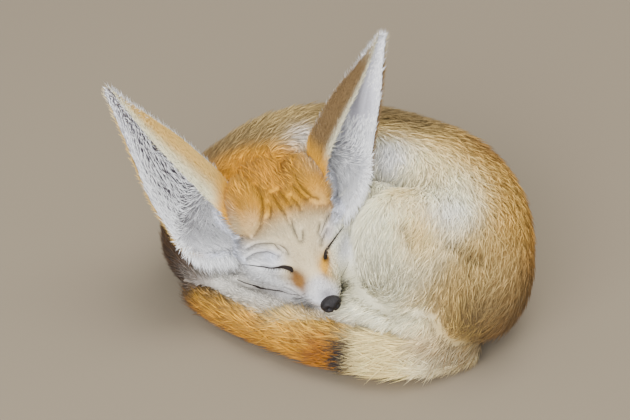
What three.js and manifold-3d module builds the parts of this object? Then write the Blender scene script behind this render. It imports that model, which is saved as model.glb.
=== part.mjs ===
// Fennec fox asleep, curled on its right side: a life-size still model in millimetres, +Z up.
//
// The fox lies as a ring on the floor, z = 0. Its spine follows the outer rim, its head rests
// inside the ring with the chin on the tail, and the tail sweeps along the front.
// Every form is worked out from the sizes below in the ring's own frame (X to the right,
// Y away from the nose's side, origin near the middle of the ring). The head's forms are worked
// out in the head's frame: x to the nose, y to the fox's left, z to the crown.
// Neighbouring pieces are parted by a gap of GAP, cut with the neighbour's own form grown by GAP.

import * as THREE from "three";
import { mergeVertices } from "three/addons/utils/BufferGeometryUtils.js";
import Module from "manifold-3d";

// Driving dimensions, mm
const GAP = 0.3;
const WELD = 0.004;
const MOST_ROUND = 0.85;
const CAP_ANGLES = [16, 50];
const FOOTPRINT_MIDDLE = [-16.6, 18.5];

const HEAD_AT = [-32.4, 0.8, 43.4];
const HEAD_YAW = -68.3;
const HEAD_PITCH = 1.2;
const HEAD_ROLL = 12.2;

const EAR_CURL_ROOT = 1.9;
const EAR_CURL_TIP = 1.1;
const EAR_WALL = 2.6;
const EAR_RIM = 1.2;
const EYE_SPAN = 33;
const LID_DOME = { half: [11, 6.5, 6.6], turn: -40, slit: 0.7, drop: -1.6 };
const HEAD_POWER = 2.15;

// The ruff of a cheek: rows of locks, the angles that they span round the head and their size
const RUFF = { rows: 3, locks: 6, lowest: -62, span: 84, length: 24, width: 8.5, thick: 2.2, lift: 5 };
const RUFF_FRONT = 0.37;
const RUFF_STEP = 0.055;
const RUFF_SUNK = 1.6;
const RUFF_LIE = { back: -0.84, outward: 0.5, down: -0.2, varied: 0.05 };

const TRUNK_AXIS = [-8, 12];
const TRUNK_POWER = 2.4;
const TAIL_HALF_WIDTH = 19;
const TAIL_HALF_HEIGHT = 15;
const TAIL_CORE = 0.7;

// The brush of the tail: rows of locks, the angles that they span round its top and their size
const BRUSH = { rows: 8, locks: 5, lowest: -22, span: 224, length: 30, width: 15.5, thick: 2.4, top: 1.24 };
const BRUSH_START = 0.02;
const BRUSH_REACH = 0.88;
const BRUSH_SUNK = 0.88;
const BRUSH_TAPER = 0.3;
const BRUSH_VARIED = { top: 0.06, sway: 0.12 };
const TAIL_PRESS = 0.4;

// Colours of the coat and bare skin
const COLOURS = {
  orange: 0xd89a55,
  buff: 0xc9a473,
  cream: 0xe6dccb,
  white: 0xe9e6e1,
  dark: 0x2a2523,
  rust: 0xa86f3c,
};

const wasm = await Module();
wasm.setup();

const vec = (x, y, z) => new THREE.Vector3(x, y, z);
const radians = THREE.MathUtils.degToRad;
const clamp = THREE.MathUtils.clamp;

// Solids and cuts

/** Turns a closed geometry into a solid that can be joined and cut. */
function solidOf(geometry) {
  const bare = geometry.clone();
  bare.deleteAttribute("normal");
  bare.deleteAttribute("uv");
  const merged = mergeVertices(bare, 1e-4);
  return new wasm.Manifold(new wasm.Mesh({
    numProp: 3,
    vertProperties: new Float32Array(merged.attributes.position.array),
    triVerts: new Uint32Array(merged.index.array),
  }));
}

/** Turns a solid back into a geometry with flat triangles. */
function geometryOf(solid) {
  const mesh = solid.getMesh();
  const geometry = new THREE.BufferGeometry();
  geometry.setAttribute("position", new THREE.BufferAttribute(new Float32Array(mesh.vertProperties), 3));
  geometry.setIndex(new THREE.BufferAttribute(new Uint32Array(mesh.triVerts), 1));
  geometry.computeVertexNormals();
  return geometry;
}

/** Joins a list of solids into one. */
function join(solids) {
  return solids.reduce((whole, next) => whole.add(next));
}

/** The largest closed surface of a solid: slivers, loose scraps and sealed hollows are left behind. */
function largest(solid) {
  const welded = mergeVertices(geometryOf(solid).deleteAttribute("normal"), WELD);
  const bodies = solidOf(welded).decompose();
  bodies.sort((a, b) => b.volume() - a.volume());
  return bodies[0];
}

/** A box between two corners. */
function boxBetween(low, high) {
  const size = high.map((value, axis) => value - low[axis]);
  const box = new THREE.BoxGeometry(...size);
  box.translate(...low.map((value, axis) => value + size[axis] / 2));
  return solidOf(box);
}

// Surfaces

/** Closes rings of equal count into one body; each end is a fan round its middle point. */
function closeRings(rings) {
  const sides = rings[0].length;
  const points = rings.flat();
  const index = [];
  for (let row = 0; row < rings.length - 1; row += 1) {
    for (let side = 0; side < sides; side += 1) {
      const next = (side + 1) % sides;
      const a = row * sides + side;
      const b = row * sides + next;
      index.push(a, b, b + sides, a, b + sides, a + sides);
    }
  }
  for (const [row, outward] of [[0, false], [rings.length - 1, true]]) {
    const middle = points.length;
    const centre = rings[row].reduce((sum, point) => sum.add(point), vec(0, 0, 0));
    points.push(centre.divideScalar(sides));
    for (let side = 0; side < sides; side += 1) {
      const a = row * sides + side;
      const b = row * sides + ((side + 1) % sides);
      index.push(...(outward ? [a, b, middle] : [b, a, middle]));
    }
  }
  return bodyFrom(points, index);
}

/** A geometry from points and triangles, turned right side out. */
function bodyFrom(points, index) {
  const geometry = new THREE.BufferGeometry().setFromPoints(points);
  geometry.setIndex(index);
  let volume = 0;
  for (let corner = 0; corner < index.length; corner += 3) {
    const [a, b, c] = [0, 1, 2].map((step) => points[index[corner + step]]);
    volume += a.dot(vec(0, 0, 0).crossVectors(b, c));
  }
  if (volume < 0) {
    for (let corner = 0; corner < index.length; corner += 3) {
      [index[corner], index[corner + 1]] = [index[corner + 1], index[corner]];
    }
    geometry.setIndex(index);
  }
  return geometry;
}

/** A point of a rounded section: an ellipse whose corners fill out as the power passes 2. */
function sectionPoint(angle, power) {
  const round = (value) => Math.sign(value) * Math.abs(value) ** (2 / power);
  return [round(Math.cos(angle)), round(Math.sin(angle))];
}

/**
 * A limb: an oval section carried along a smooth line, rounded off at both ends.
 * Each stop is [x, y, z, half width, half height, roll in degrees].
 */
function limb({ stops, steps = 12, sides = 14, grow = 0, power = 2, endRound = [1, 1] }) {
  const line = new THREE.CatmullRomCurve3(stops.map(([x, y, z]) => vec(x, y, z)));
  const sizes = new THREE.CatmullRomCurve3(stops.map(([, , , width, height, roll = 0]) =>
    vec(width, height, radians(roll))));
  const length = line.getLength();
  const first = sizes.getPoint(0);
  const last = sizes.getPoint(1);
  const rounds = [endRound[0] * (first.x + first.y) / 2, endRound[1] * (last.x + last.y) / 2];
  const fit = Math.min(1, MOST_ROUND * length / (rounds[0] + rounds[1]));
  const caps = rounds.map((round) => round * fit);
  const places = [];
  for (const angle of CAP_ANGLES) {
    places.push([caps[0] * (1 - Math.cos(radians(angle))), Math.sin(radians(angle))]);
  }
  for (let step = 0; step <= steps; step += 1) {
    places.push([caps[0] + (length - caps[0] - caps[1]) * step / steps, 1]);
  }
  for (const angle of [...CAP_ANGLES].reverse()) {
    places.push([length - caps[1] * (1 - Math.cos(radians(angle))), Math.sin(radians(angle))]);
  }
  const rings = places.map(([distance, shrink], row) => {
    const share = clamp(distance / length, 0, 1);
    const t = line.getUtoTmapping(share);
    const size = sizes.getPoint(t);
    const tangent = line.getTangent(t);
    const across = vec(0, 0, 0).crossVectors(tangent, vec(0, 0, 1)).normalize();
    const up = vec(0, 0, 0).crossVectors(across, tangent);
    const centre = line.getPoint(t);
    if (row === 0) centre.addScaledVector(tangent, -grow);
    if (row === places.length - 1) centre.addScaledVector(tangent, grow);
    const ring = [];
    for (let side = 0; side < sides; side += 1) {
      const [c, s] = sectionPoint(2 * Math.PI * side / sides, power);
      const wide = (size.x * shrink + grow) * c;
      const high = (size.y * shrink + grow) * s;
      const turned = vec(0, 0, 0)
        .addScaledVector(across, wide * Math.cos(size.z) - high * Math.sin(size.z))
        .addScaledVector(up, wide * Math.sin(size.z) + high * Math.cos(size.z));
      ring.push(centre.clone().add(turned));
    }
    return ring;
  });
  return solidOf(closeRings(rings));
}

/** An egg: a sphere stretched to three half axes, turned and placed. */
function egg({ at, half, turn = [0, 0, 0], grow = 0, detail = [12, 8] }) {
  const shape = new THREE.SphereGeometry(1, ...detail);
  shape.scale(...half.map((value) => value + grow));
  shape.applyMatrix4(new THREE.Matrix4().makeRotationFromEuler(
    new THREE.Euler(...turn.map(radians), "ZYX")));
  shape.translate(...at);
  return solidOf(shape);
}

/** A seeded draw: each call gives the next number from -1 to 1. */
function seeded(seed) {
  let state = seed;
  return () => {
    state = (state * 16807) % 2147483647;
    return state / 1073741823.5 - 1;
  };
}

// Widths of a lock along its length, as shares: [share of length, share of width]
const LOCK_TAPER = [[0, 0.6], [0.36, 1], [0.72, 0.72], [1, 0.06]];

/**
 * A flat tapered lock of hair. The function station gives, for a share of its length, the middle
 * of its base, the way across it and the way out of the coat; its section is a low ridge.
 */
function lock({ width, thick, station }) {
  const rings = LOCK_TAPER.map(([share, wide]) => {
    const { middle, across, out } = station(share);
    const half = width * wide / 2;
    return [
      middle.clone().addScaledVector(across, half),
      middle.clone().addScaledVector(out, thick * wide),
      middle.clone().addScaledVector(across, -half),
    ];
  });
  const points = rings.flat();
  const index = [0, 1, 2];
  for (let row = 0; row < rings.length - 1; row += 1) {
    for (let side = 0; side < 3; side += 1) {
      const a = 3 * row + side;
      const b = 3 * row + ((side + 1) % 3);
      index.push(a, a + 3, b, b, a + 3, b + 3);
    }
  }
  const last = 3 * (rings.length - 1);
  index.push(last, last + 2, last + 1);
  return solidOf(bodyFrom(points, index));
}

// How far through its rise a lock is at its tip: past a quarter turn it bends back to the coat
const LOCK_RISE = 0.55 * Math.PI;

// How much locks differ in length, in turn round the body in degrees and in sway of the tip
const LOCK_STRETCH = 3;
const LOCK_TURN = 3;
const LOCK_SWAY = 2;

// The head's frame

const headPlace = new THREE.Matrix4()
  .makeRotationFromEuler(new THREE.Euler(
    radians(HEAD_ROLL), radians(HEAD_PITCH), radians(HEAD_YAW), "ZYX"))
  .setPosition(...HEAD_AT);

/** Carries a solid from the head's frame to the ring's frame. */
function onHead(solid) {
  return solid.transform(headPlace.elements);
}

/** Mirrors a place in the head's frame to the asked side: 1 is left, -1 is right. */
const sided = ([x, y, z], side) => [x, y * side, z];

// Head

// Sections of the head from the back to the nose: [x, half width, top, bottom, widest height]
const SKULL = [
  [-42, 14, 12, -8, 2],
  [-36, 24, 20, -17, 0],
  [-24, 33, 27, -23, -3],
  [-9, 36, 29.5, -25, -6],
  [4, 34, 27, -24.5, -8],
  [14, 27.5, 21, -22, -7],
  [23, 18.5, 12.5, -19.5, -6],
  [31, 13, 5.5, -17.5, -6.5],
  [40, 10.2, 1.8, -15.5, -6.5],
  [47, 8, -0.8, -13.5, -6.5],
  [50, 5.5, -2.5, -11, -6.5],
];

/** Swellings and hollows of each side of the head: [x, y, z, radius, height]. */
const SWELLINGS = [
  [9, 15, 14, 9, 2.6],
  [39, 7, -7, 7, 2.2],
  [-4, 33, -12, 16, 3.5],
  [19, 19, -11, 10, 3.5],
  [29, 13, -10, 8, 2.2],
  [25, 9, 5, 7, -2],
  [30, 0, 5, 8, -1.2],
];

/** How far the head's surface stands out at a point. */
function swelling(point) {
  let height = 0;
  for (const [x, y, z, radius, peak] of SWELLINGS) {
    for (const side of y === 0 ? [1] : [1, -1]) {
      const share = point.distanceTo(vec(x, y * side, z)) / radius;
      height += peak * Math.exp(-share * share);
    }
  }
  return height;
}

const skullMiddle = new THREE.CatmullRomCurve3(SKULL.map(([x, width, , , wide]) => vec(x, width, wide)));
const skullReach = new THREE.CatmullRomCurve3(SKULL.map(([x, , top, bottom]) => vec(x, top, bottom)));

/** A point of the head's surface and the way out of it: t runs from the back to the nose. */
function skullPoint(t, angle, grow = 0) {
  const { x, y: width, z: wide } = skullMiddle.getPoint(t);
  const { y: top, z: bottom } = skullReach.getPoint(t);
  const [c, s] = sectionPoint(angle, HEAD_POWER);
  const height = s > 0 ? top - wide : wide - bottom;
  const point = vec(x, width * c, wide + height * s);
  const out = vec(0, c / width, s / height).normalize();
  return { point: point.addScaledVector(out, grow + swelling(point)), out };
}

/** The head under its coat: sections lofted along its length, with its swellings. */
function headForm(grow) {
  const sides = 24;
  const rows = 22;
  const rings = [];
  for (let row = 0; row <= rows; row += 1) {
    const ring = [];
    for (let side = 0; side < sides; side += 1) {
      ring.push(skullPoint(row / rows, 2 * Math.PI * side / sides, grow).point);
    }
    rings.push(ring);
  }
  rings[0].forEach((point) => { point.x -= grow; });
  rings.at(-1).forEach((point) => { point.x += grow; });
  return onHead(solidOf(closeRings(rings)));
}

/** The ruff of one cheek: rows of locks that flare back and out behind the jaw and under the ear. */
function ruff(side) {
  const draw = seeded(side > 0 ? 21 : 22);
  const { back, outward, down, varied } = RUFF_LIE;
  const locks = [];
  for (let row = 0; row < RUFF.rows; row += 1) {
    for (let place = 0; place < RUFF.locks; place += 1) {
      const share = (place + (row % 2) / 2) / (RUFF.locks - 0.5);
      const fall = radians(RUFF.lowest + RUFF.span * share + LOCK_TURN * draw());
      const angle = side > 0 ? fall : Math.PI - fall;
      const { point: root, out: outOfSkin } = skullPoint(
        RUFF_FRONT - RUFF_STEP * row, angle, -RUFF_SUNK,
      );
      const lie = vec(back, outward * side, down + varied * draw()).normalize();
      const across = vec(0, 0, 0).crossVectors(lie, outOfSkin).normalize();
      const out = vec(0, 0, 0).crossVectors(across, lie);
      const length = RUFF.length + LOCK_STRETCH * draw();
      const lift = RUFF.lift + draw();
      const sway = LOCK_SWAY * draw();
      const station = (along) => ({
        across,
        out,
        middle: root.clone()
          .addScaledVector(lie, length * along)
          .addScaledVector(out, lift * Math.sin(along * LOCK_RISE))
          .addScaledVector(across, sway * along * along),
      });
      locks.push(lock({ width: RUFF.width + draw(), thick: RUFF.thick, station }));
    }
  }
  return onHead(wasm.Manifold.union(locks));
}

/** The lower jaw, from behind the corner of the mouth to the chin. */
function jawForm(grow) {
  return onHead(limb({
    stops: [
      [2, 0, -21, 13, 6], [14, 0, -20, 12, 5], [26, 0, -18, 9, 4.2],
      [37, 0, -16, 6.5, 3.6], [44, 0, -14, 4, 3],
    ],
    steps: 6,
    sides: 12,
    grow,
    power: 2.4,
    endRound: [0.7, 0.8],
  }));
}

/** The nose pad with two nostrils. */
function noseForm(grow) {
  const pad = join([
    egg({ at: [50, 0, -4.6], half: [5, 6, 4.6], turn: [0, 20, 0], grow }),
    egg({ at: [49.5, 0, -8], half: [3.6, 3, 3.4], grow }),
  ]);
  if (grow > 0) return onHead(pad);
  const nostril = (side) => egg({
    at: [54, side * 3.3, -5.6], half: [2.6, 1.2, 1.1], turn: [20 * side, 10, side * 25], detail: [8, 6],
  });
  return onHead(pad.subtract(nostril(1)).subtract(nostril(-1)));
}

/** The closed lids of one eye: a low dome, cut along the line where the lids meet. */
function lidsForm(side, grow) {
  const at = sided([15.5, EYE_SPAN / 2, 5.5], side);
  const { half, turn, slit, drop } = LID_DOME;
  const dome = egg({ at, half, turn: [0, 0, side * turn], grow });
  if (grow > 0) return onHead(dome);
  const heading = radians(turn);
  const stops = [-70, -35, 0, 35, 70].map((angle) => {
    const along = half[0] * Math.sin(radians(angle));
    const outward = (half[1] + 0.1) * Math.cos(radians(angle));
    const x = along * Math.cos(heading) - outward * Math.sin(heading);
    const y = along * Math.sin(heading) + outward * Math.cos(heading);
    return [at[0] + x, at[1] + side * y, at[2] + drop * Math.cos(radians(angle)), slit, slit];
  });
  return onHead(dome.subtract(limb({ stops, steps: 5, sides: 4 })));
}

// Ears

/**
 * Three lines of each ear from its root to its tip, in the head's frame: the front rim, the spine
 * of its back and the outer rim.
 */
const EARS = {
  left: {
    front: [[-5.9, 23.4, 12.4], [-10.6, 28.3, 35.9], [-11.8, 45.2, 61.4], [-12.9, 61.6, 82.1],
      [-15.9, 78.2, 107.2]],
    spine: [[-25.7, 28.6, 1], [-37.2, 32.9, 30.4], [-35, 47.5, 56.1], [-26, 61.2, 80],
      [-16, 79.9, 106.2]],
    outer: [[0.4, 31.6, 5.9], [0.3, 49.1, 27.2], [-6.3, 63, 52], [-8.7, 71.9, 77],
      [-14.3, 82.2, 105.2]],
  },
  right: {
    front: [[-3.6, -25, 14.4], [-14.1, -32.6, 29.1], [-30.3, -45, 53.4], [-46.3, -56.6, 77.8],
      [-64.4, -67, 106.9]],
    spine: [[-29.5, -22, 3.5], [-43.5, -28, 30], [-51.5, -39, 55.5], [-57.5, -53.3, 82],
      [-64.9, -68.4, 105.9]],
    outer: [[-8.4, -32.5, 1.1], [-11.4, -59.1, 16.1], [-27.3, -67.9, 38.1], [-44.4, -69.9, 69.3],
      [-63.8, -71, 104.3]],
  },
};

/** Half the angle that an ear's section spans: rolled at the root, flatter at the tip. */
const earCurl = (t) => EAR_CURL_ROOT - (EAR_CURL_ROOT - EAR_CURL_TIP) * t ** 3;

/**
 * A point of an ear: its section is an arc from the front rim, x = -1, by the spine, x = 0, to the
 * outer rim, x = 1. The offset moves the point inwards, square to the arc.
 */
function earPoint(ear, t, x, offset) {
  const [front, spine, outer] = ["front", "spine", "outer"].map((line) =>
    new THREE.CatmullRomCurve3(ear[line].map((at) => vec(...at))).getPoint(t));
  const half = outer.clone().sub(front).multiplyScalar(0.5);
  const depth = outer.clone().add(front).multiplyScalar(0.5).sub(spine);
  const curl = earCurl(t);
  const turn = curl * x;
  const point = spine
    .addScaledVector(half, Math.sin(turn) / Math.sin(curl))
    .addScaledVector(depth, (1 - Math.cos(turn)) / (1 - Math.cos(curl)));
  const tangent = half.clone().multiplyScalar(Math.cos(turn) / Math.sin(curl))
    .addScaledVector(depth, Math.sin(turn) / (1 - Math.cos(curl)));
  const level = half.normalize();
  const upright = depth.addScaledVector(level, -depth.dot(level)).normalize();
  const inward = upright.clone().multiplyScalar(tangent.dot(level))
    .addScaledVector(level, -tangent.dot(upright)).normalize();
  return point.addScaledVector(inward, offset);
}

/** The cup of an ear: its back and its inside, one wall apart, closed round the rim. */
function earForm(name, grow) {
  const ear = EARS[name];
  const rows = 12;
  const columns = 8;
  const rings = [];
  for (let row = 0; row <= rows; row += 1) {
    const t = row / rows;
    const back = [];
    const inside = [];
    for (let column = 0; column <= columns; column += 1) {
      const x = 2 * column / columns - 1;
      const wall = (EAR_WALL - EAR_RIM) * Math.sqrt(1 - x ** 4) * (1 - 0.5 * t) + EAR_RIM;
      back.push(earPoint(ear, t, x, -grow));
      inside.unshift(earPoint(ear, t, x, wall + grow));
    }
    rings.push([...back, ...inside]);
  }
  const sides = rings[0].length;
  const points = rings.flat();
  const index = [];
  for (let row = 0; row < rows; row += 1) {
    for (let side = 0; side < sides; side += 1) {
      const a = row * sides + side;
      const b = row * sides + ((side + 1) % sides);
      index.push(a, b, b + sides, a, b + sides, a + sides);
    }
  }
  for (const [row, outward] of [[0, false], [rows, true]]) {
    for (let column = 0; column < columns; column += 1) {
      const a = row * sides + column;
      const b = a + 1;
      const c = row * sides + sides - 2 - column;
      const d = c + 1;
      index.push(...(outward ? [a, b, c, a, c, d] : [b, a, c, c, a, d]));
    }
  }
  return onHead(solidOf(bodyFrom(points, index)));
}

// Body

// Sections of the trunk round its upright axis: [azimuth, radius, height, half width, half height]
const TRUNK = [
  [196, 82, 26, 18, 23],
  [172, 77, 34, 33, 35],
  [142, 65, 41, 39, 42],
  [113, 59, 44, 43, 44.5],
  [62, 57.5, 45, 44, 44.5],
  [28, 67.5, 44, 43, 44.5],
  [-3, 73, 42, 43, 44],
  [-29, 78, 38, 42, 41],
  [-49, 80, 27, 29, 28],
];

const trunkMiddle = new THREE.CatmullRomCurve3(TRUNK.map(([azimuth, radius, height]) =>
  vec(azimuth, radius, height)));
const trunkSizes = new THREE.CatmullRomCurve3(TRUNK.map(([azimuth, , , width, height]) =>
  vec(azimuth, width, height)));

/** The trunk: an oval section carried round an upright axis from the chest to the rump. */
function trunkForm(grow) {
  const sides = 20;
  const rows = 21;
  const capRows = 3;
  const rings = [];
  for (let row = 0; row <= rows; row += 1) {
    const fromEnd = Math.min(row, rows - row);
    const lap = clamp((fromEnd + 0.35) / capRows, 0, 1);
    const shrink = Math.sqrt(1 - (1 - lap) ** 2);
    const t = row / rows;
    const { x: azimuth, y: radius, z: height } = trunkMiddle.getPoint(t);
    const { y: halfWidth, z: halfHeight } = trunkSizes.getPoint(t);
    const shift = (row === 0 ? grow : 0) - (row === rows ? grow : 0);
    const heading = radians(azimuth) + shift / radius;
    const ring = [];
    for (let side = 0; side < sides; side += 1) {
      const [c, s] = sectionPoint(2 * Math.PI * side / sides, TRUNK_POWER);
      const reach = radius + (halfWidth * shrink + grow) * c;
      ring.push(vec(
        TRUNK_AXIS[0] + reach * Math.cos(heading),
        TRUNK_AXIS[1] + reach * Math.sin(heading),
        height + (halfHeight * shrink + grow) * s,
      ));
    }
    rings.push(ring);
  }
  return solidOf(closeRings(rings));
}

function neckForm(grow) {
  return limb({
    stops: [[-38, 14, 46, 26, 26], [-46, 34, 46, 32, 34], [-60, 52, 46, 34, 38]],
    steps: 4,
    sides: 14,
    grow,
  });
}

/** The left thigh, folded over the belly with the knee towards the head. */
function thighForm(grow) {
  return limb({
    stops: [
      [86, 10, 40, 30, 34], [58, 0, 42, 38, 43], [27, -8, 42, 40, 44], [-3, -12, 33, 28, 33],
    ],
    steps: 6,
    sides: 16,
    power: 2.3,
    grow,
  });
}

/** The flank and belly between the thigh and the back, which close the middle of the ring. */
function flankForm(grow) {
  return egg({ at: [14, 22, 30], half: [38, 27, 46], grow, detail: [14, 10] });
}

function shankForm(grow) {
  return limb({
    stops: [[-2, -10, 24, 12, 13], [9, -22, 22, 13, 14], [19, -35, 17, 11, 12]],
    steps: 4,
    sides: 10,
    grow,
  });
}

/** The left hind foot, laid forward behind the tail with its toes on the tail's tip. */
function hindFootForm(grow) {
  const sole = limb({
    stops: [
      [14, -36, 15, 9, 9.5], [-4, -37, 13.5, 8, 8], [-24, -36, 15, 7.5, 7.5],
      [-44, -30, 22, 7.5, 7.5], [-62, -20, 27, 8, 7.5], [-80, -7, 28, 9, 7.5],
    ],
    steps: 8,
    sides: 10,
    grow,
  });
  const toes = [-1.5, -0.5, 0.5, 1.5].map((place) => limb({
    stops: [
      [-72 + place * 2, -12 + place * 3, 28, 4.2, 5],
      [-83 + place * 2.6, -4 + place * 4, 28 - Math.abs(place), 4.4, 5.2],
      [-93 + place * 2.8 + Math.abs(place), 2 + place * 4.2, 24 - Math.abs(place), 3.6, 4.4],
    ],
    steps: 2,
    sides: 7,
    grow,
  }));
  return join([sole, ...toes]);
}

/** The right hind foot, flat on the floor under the left one and behind the tail. */
function underFootForm(grow) {
  return limb({
    stops: [[36, -30, 13, 9, 10], [8, -30, 9, 8, 8], [-22, -22, 8, 8, 7]],
    steps: 4,
    sides: 8,
    grow,
  });
}

function foreLegForm(stops, grow) {
  return limb({ stops, steps: 5, sides: 9, grow });
}

const RIGHT_FORELEG = [
  [-104, 30, 22, 13, 15], [-92, 16, 15, 12, 13], [-70, 2, 10, 10, 10], [-44, -12, 9, 8, 8],
];
const LEFT_FORELEG = [
  [-66, 42, 22, 14, 16], [-48, 28, 12, 10, 11], [-32, 16, 10, 9, 9], [-16, 2, 9, 8, 8],
];

// Middle line of the tail out to the tips of its brush, from the rump to the tip:
// [x, y, z, share of half width, share of half height]
const TAIL = [
  [70, -36, 16, 0.9, 1],
  [55, -48, 15, 1, 1],
  [28, -57, 15, 1, 1],
  [-6, -51, 15, 1, 1],
  [-33, -38, 15, 1, 1],
  [-61, -20, 14.5, 0.97, 1],
  [-80, -4, 13.5, 0.86, 0.93],
  [-91, 8, 12, 0.6, 0.75],
];

/** The room that the whole tail takes, out to the tips of its brush. */
function tailForm(grow) {
  const stops = TAIL.map(([x, y, z, wide, high]) =>
    [x, y, z, TAIL_HALF_WIDTH * wide, TAIL_HALF_HEIGHT * high]);
  return limb({ stops, steps: 12, sides: 12, power: 2.6, grow });
}

/** The tail's core, lying on the floor, with its brush of locks laid like shingles to the tip. */
function brushedTail() {
  const stops = TAIL.map(([x, y, z, wide, high]) => [
    x, y, z * TAIL_CORE - TAIL_PRESS,
    TAIL_HALF_WIDTH * wide * TAIL_CORE, TAIL_HALF_HEIGHT * high * TAIL_CORE,
  ]);
  const line = new THREE.CatmullRomCurve3(stops.map(([x, y, z]) => vec(x, y, z)));
  const sizes = new THREE.CatmullRomCurve3(stops.map(([, , , wide, high]) => vec(wide, high, 0)));
  const tailLength = line.getLength();
  const draw = seeded(7);
  const locks = [];
  for (let row = 0; row < BRUSH.rows; row += 1) {
    const rootAt = BRUSH_START + BRUSH_REACH * row / BRUSH.rows;
    for (let place = 0; place < BRUSH.locks; place += 1) {
      const share = (place + (row % 2) / 2) / (BRUSH.locks - 0.5);
      const angle = radians(BRUSH.lowest + BRUSH.span * share + LOCK_TURN * draw());
      const length = (BRUSH.length + LOCK_STRETCH * draw()) * (1 - BRUSH_TAPER * rootAt);
      const top = BRUSH.top + BRUSH_VARIED.top * draw();
      const sway = BRUSH_VARIED.sway * draw();
      const station = (along) => {
        const t = line.getUtoTmapping(Math.min(1, rootAt + along * length / tailLength));
        const tangent = line.getTangent(t);
        const size = sizes.getPoint(t);
        const level = vec(0, 0, 0).crossVectors(tangent, vec(0, 0, 1)).normalize();
        const turned = angle + sway * along;
        const reach = BRUSH_SUNK + (top - BRUSH_SUNK) * Math.sin(along * LOCK_RISE);
        const middle = line.getPoint(t)
          .addScaledVector(level, Math.cos(turned) * size.x * reach)
          .add(vec(0, 0, Math.sin(turned) * size.y * reach));
        const out = level.multiplyScalar(Math.cos(turned)).add(vec(0, 0, Math.sin(turned)));
        return { middle, out, across: vec(0, 0, 0).crossVectors(tangent, out).normalize() };
      };
      const slender = Math.min(1, sizes.getPoint(line.getUtoTmapping(rootAt)).y / sizes.getPoint(0.5).y);
      locks.push(lock({ width: (BRUSH.width + draw()) * slender, thick: BRUSH.thick, station }));
    }
  }
  return wasm.Manifold.union([limb({ stops, steps: 10, sides: 10 }), ...locks]);
}

// Assembly

const floor = boxBetween([-400, -400, -100], [400, 400, 0]);

/** The half of space past a vertical plane through a point, as a large turned box. */
function pastPlane([x, y], heading, offset) {
  const reach = 400;
  const box = new THREE.BoxGeometry(reach, reach, reach);
  box.translate(reach / 2 + offset, 0, 0);
  box.rotateZ(radians(heading));
  box.translate(x, y, 0);
  return solidOf(box);
}

/** Parts a solid into lengths by vertical planes, leaving GAP between them. */
function lengths(solid, planes) {
  const pieces = [];
  let rest = solid;
  for (const { at, heading } of planes) {
    pieces.push(largest(rest.subtract(pastPlane(at, heading, -GAP / 2))));
    rest = largest(rest.intersect(pastPlane(at, heading, GAP / 2)));
  }
  return [...pieces, rest];
}

const fox = new THREE.Group();
fox.name = "fennec_fox";

/** Adds a solid to the fox as a named mesh with its own material. */
function place(name, solid, colour, roughness = 0.9) {
  const material = new THREE.MeshStandardMaterial({ color: COLOURS[colour], roughness, metalness: 0 });
  const mesh = new THREE.Mesh(geometryOf(largest(solid)), material);
  mesh.name = name;
  fox.add(mesh);
}

/** Cuts a solid clear of its neighbours and the floor. */
function clear(solid, neighbours = []) {
  return neighbours.reduce((rest, next) => rest.subtract(next), solid.subtract(floor));
}

const grown = {
  nose: noseForm(GAP),
  lidsLeft: lidsForm(1, GAP),
  lidsRight: lidsForm(-1, GAP),
  jaw: jawForm(GAP),
  head: headForm(GAP),
  earLeft: earForm("left", GAP),
  earRight: earForm("right", GAP),
  tail: tailForm(GAP),
  hindFoot: hindFootForm(GAP),
  shank: shankForm(GAP),
  thigh: thighForm(GAP),
  underFoot: underFootForm(GAP),
  foreLeft: foreLegForm(LEFT_FORELEG, GAP),
  foreRight: foreLegForm(RIGHT_FORELEG, GAP),
  neck: neckForm(GAP),
  trunk: trunkForm(GAP),
  flank: flankForm(GAP),
};
const { head, jaw, nose, lidsLeft, lidsRight, tail, hindFoot } = grown;
const ears = [grown.earLeft, grown.earRight];
const foreground = [nose, hindFoot, tail];
const face = [...foreground, lidsLeft, lidsRight, jaw, head];

place("nose", noseForm(0), "dark", 0.45);
place("foot_hind_left", clear(hindFootForm(0), [nose]), "cream");

const behindTail = [grown.trunk, grown.thigh, grown.underFoot, grown.foreRight].map((form) =>
  form.subtract(tailForm(0)));
const tailParts = lengths(clear(brushedTail(), [nose, hindFoot, ...behindTail]), [
  { at: [30, -58], heading: 174 },
  { at: [-32, -36], heading: 147 },
]);
["tail_base", "tail_mid", "tail_tip"].forEach((name, index) => place(name, tailParts[index], "orange"));

place("eyelids_left", clear(lidsForm(1, 0), foreground), "white");
place("eyelids_right", clear(lidsForm(-1, 0), foreground), "white");
place("jaw", clear(jawForm(0), foreground), "white");

const around = [
  grown.neck, grown.trunk, grown.thigh, grown.shank, grown.foreLeft, grown.foreRight, grown.flank,
];
const ruffs = clear(join([ruff(1), ruff(-1)]), [...foreground, ...around, ...ears]);
const bareHead = clear(headForm(0), face.slice(0, -1));
place("head", bareHead.add(ruffs), "orange");
place("ear_left", clear(earForm("left", 0), face), "cream");
place("ear_right", clear(earForm("right", 0), face), "cream");

const low = [...face];
place("shank_left", clear(shankForm(0), low), "cream");
low.push(grown.shank);
place("thigh_left", clear(thighForm(0), low), "cream");
low.push(grown.thigh);
place("foot_hind_right", clear(underFootForm(0), low), "cream");
low.push(grown.underFoot);
place("foreleg_left", clear(foreLegForm(LEFT_FORELEG, 0), low), "cream");
low.push(grown.foreLeft);
place("foreleg_right", clear(foreLegForm(RIGHT_FORELEG, 0), low), "rust");
low.push(grown.foreRight);
low.push(...ears);
place("neck", clear(neckForm(0), low), "orange");
low.push(grown.neck);
place("flank_left", clear(flankForm(0), low), "cream");
low.push(grown.flank);

const trunkParts = lengths(clear(trunkForm(0), low), [
  { at: [-31, 66], heading: 0 },
  { at: [60, 30], heading: -70 },
]);
["torso_chest", "torso_loin", "torso_rump"].forEach((name, index) => place(name, trunkParts[index], "buff"));

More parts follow.
